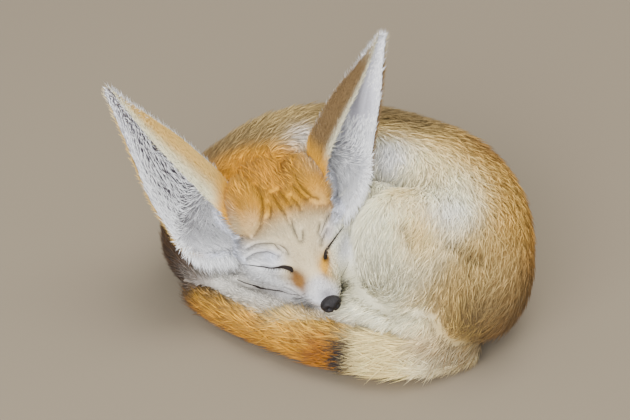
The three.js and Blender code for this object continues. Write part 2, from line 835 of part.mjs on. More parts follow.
fox.position.set(-FOOTPRINT_MIDDLE[0], -FOOTPRINT_MIDDLE[1], 0);

export default fox;
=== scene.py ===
# %% [markdown]
# # A fennec fox asleep
#
# The fox lies curled on its right side, with its chin on its tail and both large ears up. The
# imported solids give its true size, outline and place. Here it gets one smooth skin, two ears, a
# nose, the lines of its closed eyes and mouth, claws, whiskers and a coat of solid tufts of fur.
#
# Every shape is worked out with numpy as whole arrays, in millimetres in the ring's own frame,
# and put into Blender in metres at the end.

import bpy
import numpy as np
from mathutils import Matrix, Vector
from mathutils.bvhtree import BVHTree


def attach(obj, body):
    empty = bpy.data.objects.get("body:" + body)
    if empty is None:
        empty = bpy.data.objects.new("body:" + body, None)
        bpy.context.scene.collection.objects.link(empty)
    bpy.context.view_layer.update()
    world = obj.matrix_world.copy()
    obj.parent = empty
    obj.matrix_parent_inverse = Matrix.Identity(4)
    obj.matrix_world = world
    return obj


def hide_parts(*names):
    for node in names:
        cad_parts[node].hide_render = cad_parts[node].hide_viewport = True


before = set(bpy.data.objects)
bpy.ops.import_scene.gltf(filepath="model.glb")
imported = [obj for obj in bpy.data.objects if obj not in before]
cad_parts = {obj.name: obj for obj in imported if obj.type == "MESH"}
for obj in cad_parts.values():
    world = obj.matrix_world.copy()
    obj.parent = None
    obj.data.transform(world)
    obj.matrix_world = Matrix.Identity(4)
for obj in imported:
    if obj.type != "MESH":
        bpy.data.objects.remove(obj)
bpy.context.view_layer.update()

# %% [markdown]
# ## Units and frames
#
# The solids were worked out in a ring's frame, whose origin is near the middle of the curled
# body, and then moved so that their box is centred. The same move is made here. The head has a
# frame of its own: x to the nose, y to the fox's left and z to the crown.

# %% Frames
METRES = 0.001
RING_SHIFT = np.array([16.6, -18.5, 0.0])
HEAD_AT = np.array([-32.4, 0.8, 43.4])
HEAD_YAW = -68.3
HEAD_PITCH = 1.2
HEAD_ROLL = 12.2


def turn_matrix(axis, degrees):
    """The matrix that turns points about axis 0, 1 or 2 by an angle."""
    c, s = np.cos(np.radians(degrees)), np.sin(np.radians(degrees))
    matrix = np.eye(3)
    a, b = [(1, 2), (2, 0), (0, 1)][axis]
    matrix[a, a], matrix[a, b], matrix[b, a], matrix[b, b] = c, -s, s, c
    return matrix


HEAD_TURN = turn_matrix(2, HEAD_YAW) @ turn_matrix(1, HEAD_PITCH) @ turn_matrix(0, HEAD_ROLL)


def from_head(points):
    """Carries points from the head's frame to the ring's frame."""
    return points @ HEAD_TURN.T + HEAD_AT


def to_head(points):
    """Carries points from the ring's frame to the head's frame."""
    return (points - HEAD_AT) @ HEAD_TURN


def in_metres(points):
    """Carries points from the ring's frame in millimetres to the model's frame in metres."""
    return (points + RING_SHIFT) * METRES


# %% [markdown]
# ## Smooth lines and loft surfaces
#
# A limb is an oval carried along a smooth line. The line and the oval's sizes are given at a few
# stops and pass smoothly through them. Modelling each limb by hand would also do, but a formula
# keeps the skin on the same sizes as the solids, only deeper by the depth of the coat.


# %% Lines
def unit(vectors):
    """Vectors scaled to length 1."""
    return vectors / np.maximum(np.linalg.norm(vectors, axis=-1, keepdims=True), 1e-9)


def smoothstep(value, low, high):
    """0 below low, 1 above high and a smooth rise between them."""
    share = np.clip((value - low) / (high - low), 0, 1)
    return share * share * (3 - 2 * share)


def spline(stops, t):
    """A smooth line through the stops for t from 0 to 1: cubic pieces whose slopes come from the
    neighbouring stops, weighted by the square roots of the distances between them."""
    stops = np.asarray(stops, float)
    ends = np.vstack([2 * stops[0] - stops[1], stops, 2 * stops[-1] - stops[-2]])
    place = np.clip(np.atleast_1d(t), 0, 1) * (len(stops) - 1)
    index = np.minimum(place.astype(int), len(stops) - 2)
    w = (place - index)[:, None]
    p0, p1, p2, p3 = (ends[index + step] for step in range(4))
    d0, d1, d2 = (
        np.sqrt(np.maximum(np.linalg.norm(b - a, axis=1, keepdims=True), 1e-6))
        for a, b in ((p0, p1), (p1, p2), (p2, p3))
    )
    slope1 = ((p1 - p0) / d0 - (p2 - p0) / (d0 + d1) + (p2 - p1) / d1) * d1
    slope2 = ((p2 - p1) / d1 - (p3 - p1) / (d1 + d2) + (p3 - p2) / d2) * d1
    square, cube = w * w, w * w * w
    return (
        p1 + slope1 * w
        + (3 * p2 - 3 * p1 - 2 * slope1 - slope2) * square
        + (2 * p1 - 2 * p2 + slope1 + slope2) * cube
    )


def section(sides, power=2.0):
    """The unit oval of a section: cosine and sine raised to 2 / power, so that it fills out."""
    angle = 2 * np.pi * np.arange(sides) / sides
    c, s = np.cos(angle), np.sin(angle)
    return np.sign(c) * np.abs(c) ** (2 / power), np.sign(s) * np.abs(s) ** (2 / power)


# %% Limbs
END_ROWS = 9
FIRST_END_ANGLE = 3
LAST_END_ANGLE = 84


def limb(stops, rows=36, sides=36, inset=0.0, power=2.0, end_round=(1.0, 1.0)):
    """Rings of a limb. At each distance along the line the oval's half sizes, less the inset, are
    laid off across and up from the line; at both ends they shrink as a quarter circle does.
    Returns the rings and the guide: middle points, directions and mean radii."""
    stops = np.array([list(stop) + [0.0] * (6 - len(stop)) for stop in stops])
    stops[:, 5] = np.radians(stops[:, 5])
    fine = np.linspace(0, 1, 300)
    steps = np.linalg.norm(np.diff(spline(stops[:, :3], fine), axis=0), axis=1)
    walked = np.concatenate([[0], np.cumsum(steps)])
    length = walked[-1]
    rounds = np.array([end_round[0] * stops[0, 3:5].mean(), end_round[1] * stops[-1, 3:5].mean()])
    rounds = rounds * min(1, 0.85 * length / rounds.sum())
    quarter = np.radians(np.linspace(FIRST_END_ANGLE, LAST_END_ANGLE, END_ROWS))
    first = inset + (rounds[0] - inset * 0.5) * (1 - np.cos(quarter))
    last = length - inset - (rounds[1] - inset * 0.5) * (1 - np.cos(quarter[::-1]))
    middle = np.linspace(first[-1], last[0], rows)[1:-1]
    distance = np.concatenate([first, middle, last])
    shrink = np.concatenate([np.sin(quarter), np.ones(len(middle)), np.sin(quarter[::-1])])
    t = np.interp(distance, walked, fine)
    centre = spline(stops[:, :3], t)
    size = spline(stops[:, 3:6], t)
    direction = unit(spline(stops[:, :3], t + 1e-3) - spline(stops[:, :3], t - 1e-3))
    across = unit(np.cross(direction, [0, 0, 1]))
    up = np.cross(across, direction)
    c, s = section(sides, power)
    wide = ((size[:, 0] - inset) * shrink)[:, None] * c
    high = ((size[:, 1] - inset) * shrink)[:, None] * s
    roll_c, roll_s = np.cos(size[:, 2])[:, None], np.sin(size[:, 2])[:, None]
    offset = (
        (wide * roll_c - high * roll_s)[..., None] * across[:, None]
        + (wide * roll_s + high * roll_c)[..., None] * up[:, None]
    )
    guide = centre, direction, size[:, :2].mean(1) * shrink
    return centre[:, None] + offset, guide


def closed_grid(rings):
    """Points and faces of rings joined row by row, with a fan at each end."""
    rows, sides = rings.shape[:2]
    points = np.vstack([rings.reshape(-1, 3), rings[0].mean(0), rings[-1].mean(0)])
    row, side = np.meshgrid(np.arange(rows - 1), np.arange(sides), indexing="ij")
    a = (row * sides + side).ravel()
    b = (row * sides + (side + 1) % sides).ravel()
    quads = np.stack([a, b, b + sides, a + sides], 1)
    ring = np.arange(sides)
    after = (ring + 1) % sides
    top = (rows - 1) * sides
    low_fan = np.stack([after, ring, np.full(sides, rows * sides)], 1)
    high_fan = np.stack([top + ring, top + after, np.full(sides, rows * sides + 1)], 1)
    return points, quads, np.vstack([low_fan, high_fan])


def volume_sign(points, quads, fans):
    """1 if the faces point outwards, -1 if they point inwards."""
    total = 0.0
    for tri in (quads[:, [0, 1, 2]], quads[:, [0, 2, 3]], fans):
        a, b, c = (points[tri[:, corner]] for corner in range(3))
        total += np.einsum("ij,ij->", a, np.cross(b, c))
    return np.sign(total)


def outward_grid(rings):
    """A closed grid's points and faces, turned so that the faces look outward."""
    points, quads, fans = closed_grid(rings)
    if volume_sign(points, quads, fans) < 0:
        quads, fans = quads[:, ::-1], fans[:, ::-1]
    return points, quads, fans


# %% Meshes from arrays
def new_mesh(name, points, quads, triangles):
    """A mesh object in metres from arrays of points, four-sided faces and triangles."""
    quads = np.asarray(quads, np.int32).reshape(-1, 4)
    triangles = np.asarray(triangles, np.int32).reshape(-1, 3)
    mesh = bpy.data.meshes.new(name)
    mesh.vertices.add(len(points))
    mesh.vertices.foreach_set("co", in_metres(points).astype(np.float32).ravel())
    loops = np.concatenate([quads.ravel(), triangles.ravel()])
    mesh.loops.add(len(loops))
    mesh.loops.foreach_set("vertex_index", loops)
    sizes = np.concatenate([np.full(len(quads), 4), np.full(len(triangles), 3)])
    mesh.polygons.add(len(sizes))
    mesh.polygons.foreach_set("loop_start", np.concatenate([[0], np.cumsum(sizes)[:-1]]))
    mesh.polygons.foreach_set("use_smooth", np.ones(len(sizes), bool))
    mesh.update(calc_edges=True)
    mesh.validate()
    made = bpy.data.objects.new(name, mesh)
    bpy.context.scene.collection.objects.link(made)
    return made


def joined(name, grids):
    """One mesh of several closed grids, each turned so that its faces look outward."""
    all_points, all_quads, all_fans = [], [], []
    start = 0
    for rings in grids:
        points, quads, fans = outward_grid(rings)
        all_points.append(points)
        all_quads.append(quads + start)
        all_fans.append(fans + start)
        start += len(points)
    return new_mesh(name, np.vstack(all_points), np.vstack(all_quads), np.vstack(all_fans))


def point_colours(made, name, colours):
    """Stores one colour for each point of a mesh."""
    attribute = made.data.attributes.new(name, "FLOAT_COLOR", "POINT")
    rgba = np.ones((len(colours), 4), np.float32)
    rgba[:, :3] = colours
    attribute.data.foreach_set("color", rgba.ravel())


# %% [markdown]
# ## The forms of the body
#
# These are the sizes of the solids. Each form is drawn in by the depth of the coat that lies
# over it: little on the face and feet, more on the body, most on the tail.

# %% Sizes of the limbs
# A limb has stops of x, y, z, half width and half height, and a depth that its coat takes up.
LIMBS = {
    "neck": ([[-38, 14, 46, 26, 26], [-46, 34, 46, 32, 34], [-60, 52, 46, 34, 38]], 5.0),
    "thigh": (
        [[86, 10, 40, 30, 34], [58, 0, 42, 38, 43], [27, -8, 42, 40, 44], [-3, -12, 33, 28, 33]],
        5.5,
    ),
    "shank": ([[-2, -10, 24, 12, 13], [9, -22, 22, 13, 14], [19, -35, 17, 11, 12]], 3.0),
    "foot": (
        [[14, -36, 15, 9, 9.5], [-4, -37, 13.5, 8, 8], [-24, -36, 15, 7.5, 7.5],
         [-44, -30, 20, 7.5, 7], [-62, -20, 24, 8, 7], [-80, -7, 27, 9, 7.5]],
        1.8,
    ),
    "under_foot": ([[36, -30, 13, 9, 10], [8, -30, 9, 8, 8], [-22, -22, 8, 8, 7]], 2.0),
    "foreleg_right": (
        [[-104, 30, 22, 13, 15], [-92, 16, 15, 12, 13], [-70, 2, 10, 10, 10], [-44, -12, 9, 8, 8]],
        2.5,
    ),
    "foreleg_left": (
        [[-66, 42, 22, 14, 16], [-48, 28, 12, 10, 11], [-32, 16, 10, 9, 9], [-16, 2, 9, 8, 8]],
        2.5,
    ),
}
TOES = (-1.5, -0.5, 0.5, 1.5)
for toe in TOES:
    LIMBS[f"toe_{toe}"] = (
        [[-72 + toe * 2, -12 + toe * 3, 28, 4.2, 5],
         [-83 + toe * 2.6, -4 + toe * 4, 28 - abs(toe), 4.4, 5.2],
         [-93 + toe * 2.8 + abs(toe), 2 + toe * 4.2, 24 - abs(toe), 3.6, 4.4]],
        1.0,
    )
# The tail has stops of x, y, z and its shares of the full half width and half height. Its core
# is the share of the whole brush that is flesh.
TAIL_HALF_WIDTH = 19
TAIL_HALF_HEIGHT = 15
TAIL_CORE = 0.66
TAIL = [
    [70, -36, 16, 0.9, 1], [55, -48, 15, 1, 1], [28, -57, 15, 1, 1], [-6, -51, 15, 1, 1],
    [-33, -38, 15, 1, 1], [-61, -20, 14.5, 0.97, 1], [-80, -4, 13.5, 0.86, 0.93],
    [-91, 8, 12, 0.6, 0.75],
]
LIMBS["tail"] = (
    [[x, y, z * TAIL_CORE, TAIL_HALF_WIDTH * wide * TAIL_CORE, TAIL_HALF_HEIGHT * high * TAIL_CORE]
     for x, y, z, wide, high in TAIL],
    0.0,
)

# %% The trunk
TRUNK_AXIS = np.array([-8.0, 12.0])
TRUNK_INSET = 6.5
TRUNK_POWER = 2.4
# The trunk rounds off over 3 of 21 steps at each end, and starts a little way into the first.
TRUNK_STEPS = 21
ROUND_STEPS = 3
START_STEP = 0.35
# A section has its azimuth in degrees, the radius and height of its middle and its half sizes.
TRUNK = np.array([
    [196, 82, 26, 18, 23], [172, 77, 34, 33, 35], [142, 65, 41, 39, 42], [113, 59, 44, 43, 44.5],
    [62, 57.5, 45, 44, 44.5], [28, 67.5, 44, 43, 44.5], [-3, 73, 42, 43, 44],
    [-29, 78, 38, 42, 41], [-49, 80, 27, 29, 28],
])


def trunk(inset, rows=110, sides=72):
    """Rings of the trunk: an oval carried round an upright axis. Its azimuth, radius and height
    pass smoothly through the sections' values, and it shrinks to round ends."""
    t = 0.5 - 0.5 * np.cos(np.linspace(0, np.pi, rows))
    middle = spline(TRUNK[:, [0, 1, 2]], t)
    size = spline(TRUNK[:, [0, 3, 4]], t)
    lap = np.clip((np.minimum(t, 1 - t) * TRUNK_STEPS + START_STEP) / ROUND_STEPS, 0, 1)
    shrink = np.sqrt(1 - (1 - lap) ** 2)
    heading = np.radians(middle[:, 0]) + inset / middle[:, 1] * np.linspace(-1, 1, rows)
    out = np.stack([np.cos(heading), np.sin(heading), np.zeros(rows)], 1)
    c, s = section(sides, TRUNK_POWER)
    centre = out * middle[:, 1:2] + [*TRUNK_AXIS, 0] + [0, 0, 1] * middle[:, 2:3]
    wide = ((size[:, 1] - inset) * shrink)[:, None] * c
    high = ((size[:, 2] - inset) * shrink)[:, None] * s
    rings = centre[:, None] + wide[..., None] * out[:, None] + high[..., None] * [0, 0, 1]
    along = unit(np.gradient(centre, axis=0))
    return rings, (centre, along, size[:, 1:].mean(1) * shrink)


# %% The head
# A section has its x, half width, top, bottom and the height at which it is widest.
SKULL_INSET = 2.0
SKULL_POWER = 2.15
SKULL = np.array([
    [-42, 14, 12, -8, 2], [-36, 24, 20, -17, 0], [-24, 33, 27, -23, -3], [-9, 36, 29.5, -25, -6],
    [4, 34, 27, -24.5, -8], [14, 27.5, 21, -22, -7], [23, 18.5, 12.5, -19.5, -6],
    [31, 13, 5.5, -17.5, -6.5], [40, 10.2, 1.8, -15.5, -6.5], [47, 8, -0.8, -13.5, -6.5],
    [50, 5.5, -2.5, -11, -6.5],
], float)
# A swelling has its x, y, z, radius and height.
SWELLINGS = [
    (9, 15, 14, 9, 2.6), (39, 7, -7, 7, 2.2), (-4, 33, -12, 16, 3.5), (19, 19, -11, 10, 3.5),
    (29, 13, -10, 8, 2.2), (25, 9, 5, 7, -2.0), (30, 0, 5, 8, -1.2),
]


def swelling(points):
    """How far the head stands out: a sum of bell-shaped bumps, each mirrored to both sides."""
    height = np.zeros(points.shape[:-1])
    for x, y, z, radius, peak in SWELLINGS:
        for side in ((1,) if y == 0 else (1, -1)):
            share = np.linalg.norm(points - [x, y * side, z], axis=-1) / radius
            height += peak * np.exp(-share * share)
    return height


def skull(inset, rows=90, sides=90):
    """Rings of the head: above and below its widest height the section has its own half height."""
    t = np.linspace(0, 1, rows)
    x, width, wide = spline(SKULL[:, [0, 1, 4]], t).T[:, :, None]
    top, bottom = spline(SKULL[:, [0, 2, 3]], t)[:, 1:].T[:, :, None]
    c, s = section(sides, SKULL_POWER)
    height = np.where(s > 0, top - wide, wide - bottom)
    points = np.stack([x + 0 * c, width * c, wide + height * s], -1)
    out = unit(np.stack([0 * points[..., 0], c / width, s / height], -1))
    points = points + out * (swelling(points) - inset)[..., None]
    points[..., 0] += inset * np.linspace(1, -1, rows)[:, None]
    return from_head(points)


# %% [markdown]
# ## Where the ears stand
#
# The ears are built later, but the coat has to know where they stand, because the hair in their
# cups is short and white. An ear is drawn as three lines with an arc through them at each height.
# A bent plane would be simpler, but its root wouldn't wrap round the side of the head.

# %% Ear lines
# Three lines of each ear in the head's frame, from its root to its tip.
EARS = {
    "left": dict(
        front=[[-10, 20, 6], [-10.6, 28.3, 35.9], [-11.8, 45.2, 61.4], [-12.9, 61.6, 82.1],
               [-15.9, 78.2, 107.2]],
        spine=[[-25.7, 28.6, 1], [-37.2, 32.9, 30.4], [-35, 47.5, 56.1], [-26, 61.2, 80],
               [-16, 79.9, 106.2]],
        outer=[[-3, 28, 1], [0.3, 49.1, 27.2], [-6.3, 63, 52], [-8.7, 71.9, 77],
               [-14.3, 82.2, 105.2]],
    ),
    "right": dict(
        front=[[-10, -20, 6], [-14.1, -32.6, 29.1], [-30.3, -45, 53.4], [-46.3, -56.6, 77.8],
               [-64.4, -67, 106.9]],
        spine=[[-29.5, -22, 3.5], [-43.5, -28, 30], [-51.5, -39, 55.5], [-57.5, -53.3, 82],
               [-64.9, -68.4, 105.9]],
        outer=[[-14, -27, -3], [-11.4, -59.1, 16.1], [-27.3, -67.9, 38.1], [-44.4, -69.9, 69.3],
               [-63.8, -71, 104.3]],
    ),
}
EAR_WALL = 1.6
CURL_ROOT, CURL_TIP = 1.9, 1.1


def ear_surface(ear, t, x, inward):
    """Points of an ear. With the half angle a of the section, the point at x from -1 to 1 is
    spine + half sin(a x) / sin(a) + depth (1 - cos(a x)) / (1 - cos(a)); inward moves it square
    to the arc, into the cup."""
    front, spine, outer = (spline(ear[line], t)[:, None] for line in ("front", "spine", "outer"))
    half = (outer - front) / 2
    depth = (outer + front) / 2 - spine
    curl = (CURL_ROOT - (CURL_ROOT - CURL_TIP) * t ** 3)[:, None]
    turn = curl * x[None, :]
    tangent = (
        half * (np.cos(turn) / np.sin(curl))[..., None]
        + depth * (np.sin(turn) / (1 - np.cos(curl)))[..., None]
    )
    level = unit(half)
    upright = unit(depth - level * (depth * level).sum(-1, keepdims=True))
    into_cup = unit(
        upright * (tangent * level).sum(-1, keepdims=True)
        - level * (tangent * upright).sum(-1, keepdims=True)
    )
    return (
        spine
        + half * (np.sin(turn) / np.sin(curl))[..., None]
        + depth * ((1 - np.cos(turn)) / (1 - np.cos(curl)))[..., None]
        + into_cup * inward[..., None]
    )


# %% [markdown]
# ## Small forms
#
# The jaw, the flank, the lids and the pads under the ears are added as limbs and eggs, and more
# eggs fill the folds where limbs press on each other, where a real coat would leave no hole.

# %% Small closed forms
def egg(at, half, turn=(0, 0, 0), rows=28, sides=36):
    """Rings of an egg: a sphere stretched to three half axes, turned and placed."""
    pole = 0.03
    fall = np.linspace(pole, np.pi - pole, rows)[:, None]
    angle = 2 * np.pi * np.arange(sides) / sides
    ball = np.stack([np.cos(fall) + 0 * angle, np.sin(fall) * np.cos(angle),
                     np.sin(fall) * np.sin(angle)], -1)
    matrix = turn_matrix(2, turn[2]) @ turn_matrix(1, turn[1]) @ turn_matrix(0, turn[0])
    return (ball * half) @ matrix.T + np.array(at)


# The jaw is a limb in the head's frame. The fillers close the folds between limbs, the crown
# pads join the ears to the head and the lids bulge over the closed eyes.
JAW_INSET = 1.2
JAW = [[2, 0, -21, 13, 6], [14, 0, -20, 12, 5], [26, 0, -18, 9, 4.2], [37, 0, -16, 6.5, 3.6],
       [44, 0, -14, 4, 3]]
FLANK = dict(at=(14, 22, 30), half=(33, 22, 41))
CROWN_PADS = [
    dict(at=(-21, 11, 18), half=(21, 12, 11.5)),
    dict(at=(-21, 21, 23), half=(20, 13.5, 15)),
]
FILLERS = [
    dict(at=(-30, -37, 18), half=(17, 7, 8)),
    dict(at=(0, -30, 19), half=(14, 11, 12)),
    dict(at=(38, -44, 15), half=(15, 10, 13)),
    dict(at=(-40, -19, 16), half=(22, 12, 9)),
    dict(at=(-48, 36, 62), half=(28, 20, 14)),
    dict(at=(18, -40, 14), half=(12, 10, 11)),
    dict(at=(4, -7, 33), half=(8, 8, 8)),
    dict(at=(2, -14, 26), half=(9, 10, 9)),
]
LID = dict(at=(15.5, 16.5, 5.5), half=(10.6, 6.2, 6.2), turn=-40)

# %% [markdown]
# ## One skin
#
# All forms are laid into one mesh and turned into one surface by a voxel remesh, which joins
# whatever overlaps. Then the surface is smoothed, so that neck, thigh and flank run into each
# other as muscles do under a skin. A Boolean union would keep hard creases where forms meet.

# %% Gather the forms
forms = []
guides = {}
for name, (stops, inset) in LIMBS.items():
    rings, guides[name] = limb(stops, inset=inset)
    forms.append(rings)
rings, guides["trunk"] = trunk(TRUNK_INSET)
forms.append(rings)
forms.append(egg(**FLANK))
forms.extend(egg(**filler) for filler in FILLERS)
forms.append(skull(SKULL_INSET))
forms.append(from_head(limb(JAW, inset=JAW_INSET, power=2.4, end_round=(0.7, 0.8))[0]))
for side in (1, -1):
    for pad in CROWN_PADS:
        forms.append(from_head(egg(np.array(pad["at"]) * [1, side, 1], pad["half"])))
    lid_at = np.array(LID["at"]) * [1, side, 1]
    forms.append(from_head(egg(lid_at, LID["half"], (0, 0, side * LID["turn"]))))

raw = joined("skin_forms", forms)
print("forms:", len(forms), "points:", len(raw.data.vertices))

# %% Remesh to one surface
VOXEL = 0.0015
remesh = raw.modifiers.new("one_surface", "REMESH")
remesh.mode = "VOXEL"
remesh.voxel_size = VOXEL
remesh.use_smooth_shade = True
evaluated = raw.evaluated_get(bpy.context.evaluated_depsgraph_get())
whole = evaluated.to_mesh()
skin_points = np.empty(len(whole.vertices) * 3, np.float32)
whole.vertices.foreach_get("co", skin_points)
skin_points = skin_points.reshape(-1, 3).astype(float) / METRES - RING_SHIFT
skin_quads = np.empty(len(whole.loops), np.int32)
whole.loops.foreach_get("vertex_index", skin_quads)
assert len(skin_quads) == 4 * len(whole.polygons)
skin_quads = skin_quads.reshape(-1, 4)
evaluated.to_mesh_clear()
bpy.data.objects.remove(raw)
print("skin:", len(skin_points), "points,", len(skin_quads), "faces")


# %% [markdown]
# ## Which part of the skin is which
#
# Hair is long on the tail and short on the toes, so each point of the skin gets a share of each
# limb, by how near its surface is. Painting these shares by hand is the usual way, but shares
# worked out from the limbs follow every later change of shape.

# %% Parts of the skin
def nearest_on(guide, points):
    """For each point the gap to a guide's surface, the guide's direction there and how far along
    it lies, from 0 to 1: the closest of its middle points, less its radius, decides."""
    centre, along, radius = guide
    gap = np.full(len(points), 1e9)
    place = np.zeros(len(points), int)
    for index in range(len(centre)):
        away = np.linalg.norm(points - centre[index], axis=1) - radius[index]
        closer = away < gap
        gap[closer] = away[closer]
        place[closer] = index
    return gap, along[place], place / (len(centre) - 1)


FLANK_LIE = [-0.2, -0.8, -0.5]
head_line = np.stack([np.linspace(50, -40, 40), np.zeros(40), np.linspace(-6, 0, 40)], 1)
head_radius = np.interp(head_line[:, 0], [-42, -9, 4, 23, 31, 50], [15, 31, 29, 17, 12, 5])
guides["head"] = (
    from_head(head_line), np.tile(HEAD_TURN @ [-1.0, 0, 0], (40, 1)), head_radius)
flank_line = np.stack([np.linspace(40, -14, 12), np.full(12, 22.0), np.full(12, 34.0)], 1)
guides["flank"] = (flank_line, np.tile(FLANK_LIE, (12, 1)), np.full(12, 24.0))

gaps = {name: nearest_on(guide, skin_points) for name, guide in guides.items()}
names = list(gaps)
closeness = np.stack([gaps[name][0] for name in names], 1)
BLEND = 3.0
share = np.exp(-(closeness - closeness.min(1, keepdims=True)) / BLEND)
share /= share.sum(1, keepdims=True)
part = {name: share[:, index] for index, name in enumerate(names)}
toes = sum(part[name] for name in names if name.startswith("toe"))
feet = toes + part["foot"] + part["under_foot"]
print({name: round(float(value.mean()), 3) for name, value in part.items()})

# %% Smooth the skin
edges = np.vstack([skin_quads[:, [a, (a + 1) % 4]] for a in range(4)])
ends = np.concatenate([edges[:, 0], edges[:, 1]])
others = np.concatenate([edges[:, 1], edges[:, 0]])
neighbours = np.bincount(ends, minlength=len(skin_points))[:, None]


def smoothed(values, strength):
    """Each value moved towards the mean of its neighbours by its own strength."""
    mean = np.stack([
        np.bincount(ends, values[others, column], len(values)) for column in range(values.shape[1])
    ], 1) / neighbours
    return values + (mean - values) * strength[:, None]


ALL_OVER_PASSES = 14
BODY_PASSES = 16
softness = 0.6 - 0.35 * part["head"] - 0.3 * toes
for _ in range(ALL_OVER_PASSES):
    skin_points = smoothed(skin_points, softness)
for _ in range(BODY_PASSES):
    nape = part["head"] * smoothstep(-to_head(skin_points)[:, 0], 8, 20)
    body_only = 0.6 * np.clip(part["trunk"] + part["thigh"] + part["flank"] + part["neck"] + nape,
                              0, 1)
    skin_points = smoothed(skin_points, body_only * smoothstep(skin_points[:, 2], 3, 9))


def normals_of(points, quads):
    """The mean direction of the faces round each point."""
    diagonal = np.cross(points[quads[:, 2]] - points[quads[:, 0]],
                        points[quads[:, 3]] - points[quads[:, 1]])
    total = np.stack([
        np.bincount(quads.ravel(), np.repeat(diagonal[:, axis], 4), len(points))
        for axis in range(3)
    ], 1)
    return unit(total)


FLOOR_GAP = 0.2
skin_points[:, 2] = np.maximum(skin_points[:, 2], FLOOR_GAP)
skin_normals = normals_of(skin_points, skin_quads)
print("skin box, mm:", skin_points.min(0).round(1), "to", skin_points.max(0).round(1))

# %% [markdown]
# ## Markings
#
# A fennec is cream below and buff to orange above, with a white face, rusty marks under the
# inner corners of its eyes and a dark patch where the tail's scent gland lies. The markings are
# soft patches with named places, sizes and colours, so that skin and coat carry the same ones.


# %% Colours
ALBEDO = 1.22
SATURATION = 1.3


def colour(red, green, blue):
    """A colour as seen, 0 to 255, turned into the share of light that the coat gives back. The
    floor and sky wash colours out, so each is first moved away from its own grey."""
    light = (np.array([red, green, blue]) / 255.0) ** 2.2
    grey = light @ [0.21, 0.72, 0.07]
    return np.clip(ALBEDO * (grey + (light - grey) * SATURATION), 0.004, 0.88)


CREAM = colour(222, 214, 192)
FOREHEAD = colour(200, 187, 160)
MUZZLE = colour(198, 199, 204)
NOSE_GREY = colour(122, 119, 123)
CUP_WHITE = colour(206, 207, 214)
TEAR = colour(118, 90, 62)
TEAR_DARK = colour(92, 66, 44)
WHITE = colour(222, 222, 226)
LILAC_WHITE = colour(203, 203, 210)
FOOT = colour(196, 193, 186)
TAIL_CREAM = colour(208, 192, 150)
TAIL_TOP = colour(222, 184, 120)
TAIL_ORANGE = colour(200, 156, 92)
BUFF = colour(196, 174, 130)
BACK_BUFF = colour(116, 101, 77)
YELLOW_BUFF = colour(206, 184, 138)
ORANGE = colour(190, 147, 86)
DEEP_ORANGE = colour(166, 116, 60)
RIM = colour(172, 142, 94)
RUST = colour(138, 92, 52)
DARK_BROWN = colour(72, 58, 46)
NEAR_BLACK = colour(48, 40, 37)
SHADE_BROWN = colour(56, 43, 33)
TOE_GREY = colour(140, 131, 124)
TIP_BROWN = colour(110, 84, 58)
EAR_SKIN = colour(84, 78, 84)
EAR_OCHRE = colour(200, 172, 122)
# Painted shade: the ochre of the ear's back, darkened for the left ear, which lies in shade.
EAR_OCHRE_IN_SHADE = colour(116, 98, 76)


def patch(points, at, reach):
    """1 at a place, falling as a bell away from it; reach is its half size on each axis."""
    return np.exp(-(((points - np.array(at)) / np.array(reach)) ** 2).sum(1))


def paint(colours, new, weight):
    """Mixes a new colour in by its weight, 0 to 1, at each point."""
    return colours + (new - colours) * np.clip(weight, 0, 1)[:, None]


def patched(colours, points, marks):
    """Mixes in soft patches, one after another; a mark has its colour, strength, middle and
    reach."""
    for new, strength, at, reach in marks:
        colours = paint(colours, new, strength * patch(points, at, reach))
    return colours


def line_gap(points, stops):
    """The distance from each point to a line through the stops."""
    stops = np.asarray(stops, float)
    gap = np.full(len(points), 1e9)
    for a, b in zip(stops[:-1], stops[1:]):
        along = np.clip((points - a) @ (b - a) / ((b - a) @ (b - a)), 0, 1)
        gap = np.minimum(gap, np.linalg.norm(points - a - along[:, None] * (b - a), axis=1))
    return gap


def beside(points, stops, reach, power=2):
    """1 on a line, falling as a bell away from it: e to the minus (gap / reach) to a power."""
    return np.exp(-(line_gap(points, stops) / reach) ** power)


# %% Lay lines on the skin
smooth_surface = BVHTree.FromPolygons(skin_points.tolist(), skin_quads.tolist())


def laid(stops, on_head=True):
    """A smooth line through the stops, moved to the nearest places of the skin."""
    line = spline(stops, np.linspace(0, 1, 4 * len(stops) - 3))
    start = from_head(line) if on_head else line
    found = np.array([smooth_surface.find_nearest(Vector(point))[0] for point in start])
    return to_head(found) if on_head else found


# %% Lines of the eyes
# They are in the head's frame and start at the eye's inner corner. The dark rim is as long as the
# first points of the line.
DARK_POINTS = 21
EYE_LINES = {
    "right": laid([[23.9, -11.4, 4.3], [23.1, -12.2, 6.5], [21.8, -15.0, 8.1], [20.4, -17.6, 8.2],
                   [17.9, -21.1, 7.4], [11.3, -25.7, 5.8], [6.3, -29.6, 5.0], [0, -33.4, 2.5]]),
    "left": laid([[24.6, 8.5, 4.0], [23.7, 9.0, 4.7], [22.2, 10.8, 7.2], [20.9, 13.4, 8.8],
                  [18.3, 17.2, 9.4], [14.4, 21.3, 9.1], [10.8, 25, 8], [6.5, 29, 6.3]]),
}
print("lines of the eyes, points:", {name: len(line) for name, line in EYE_LINES.items()})

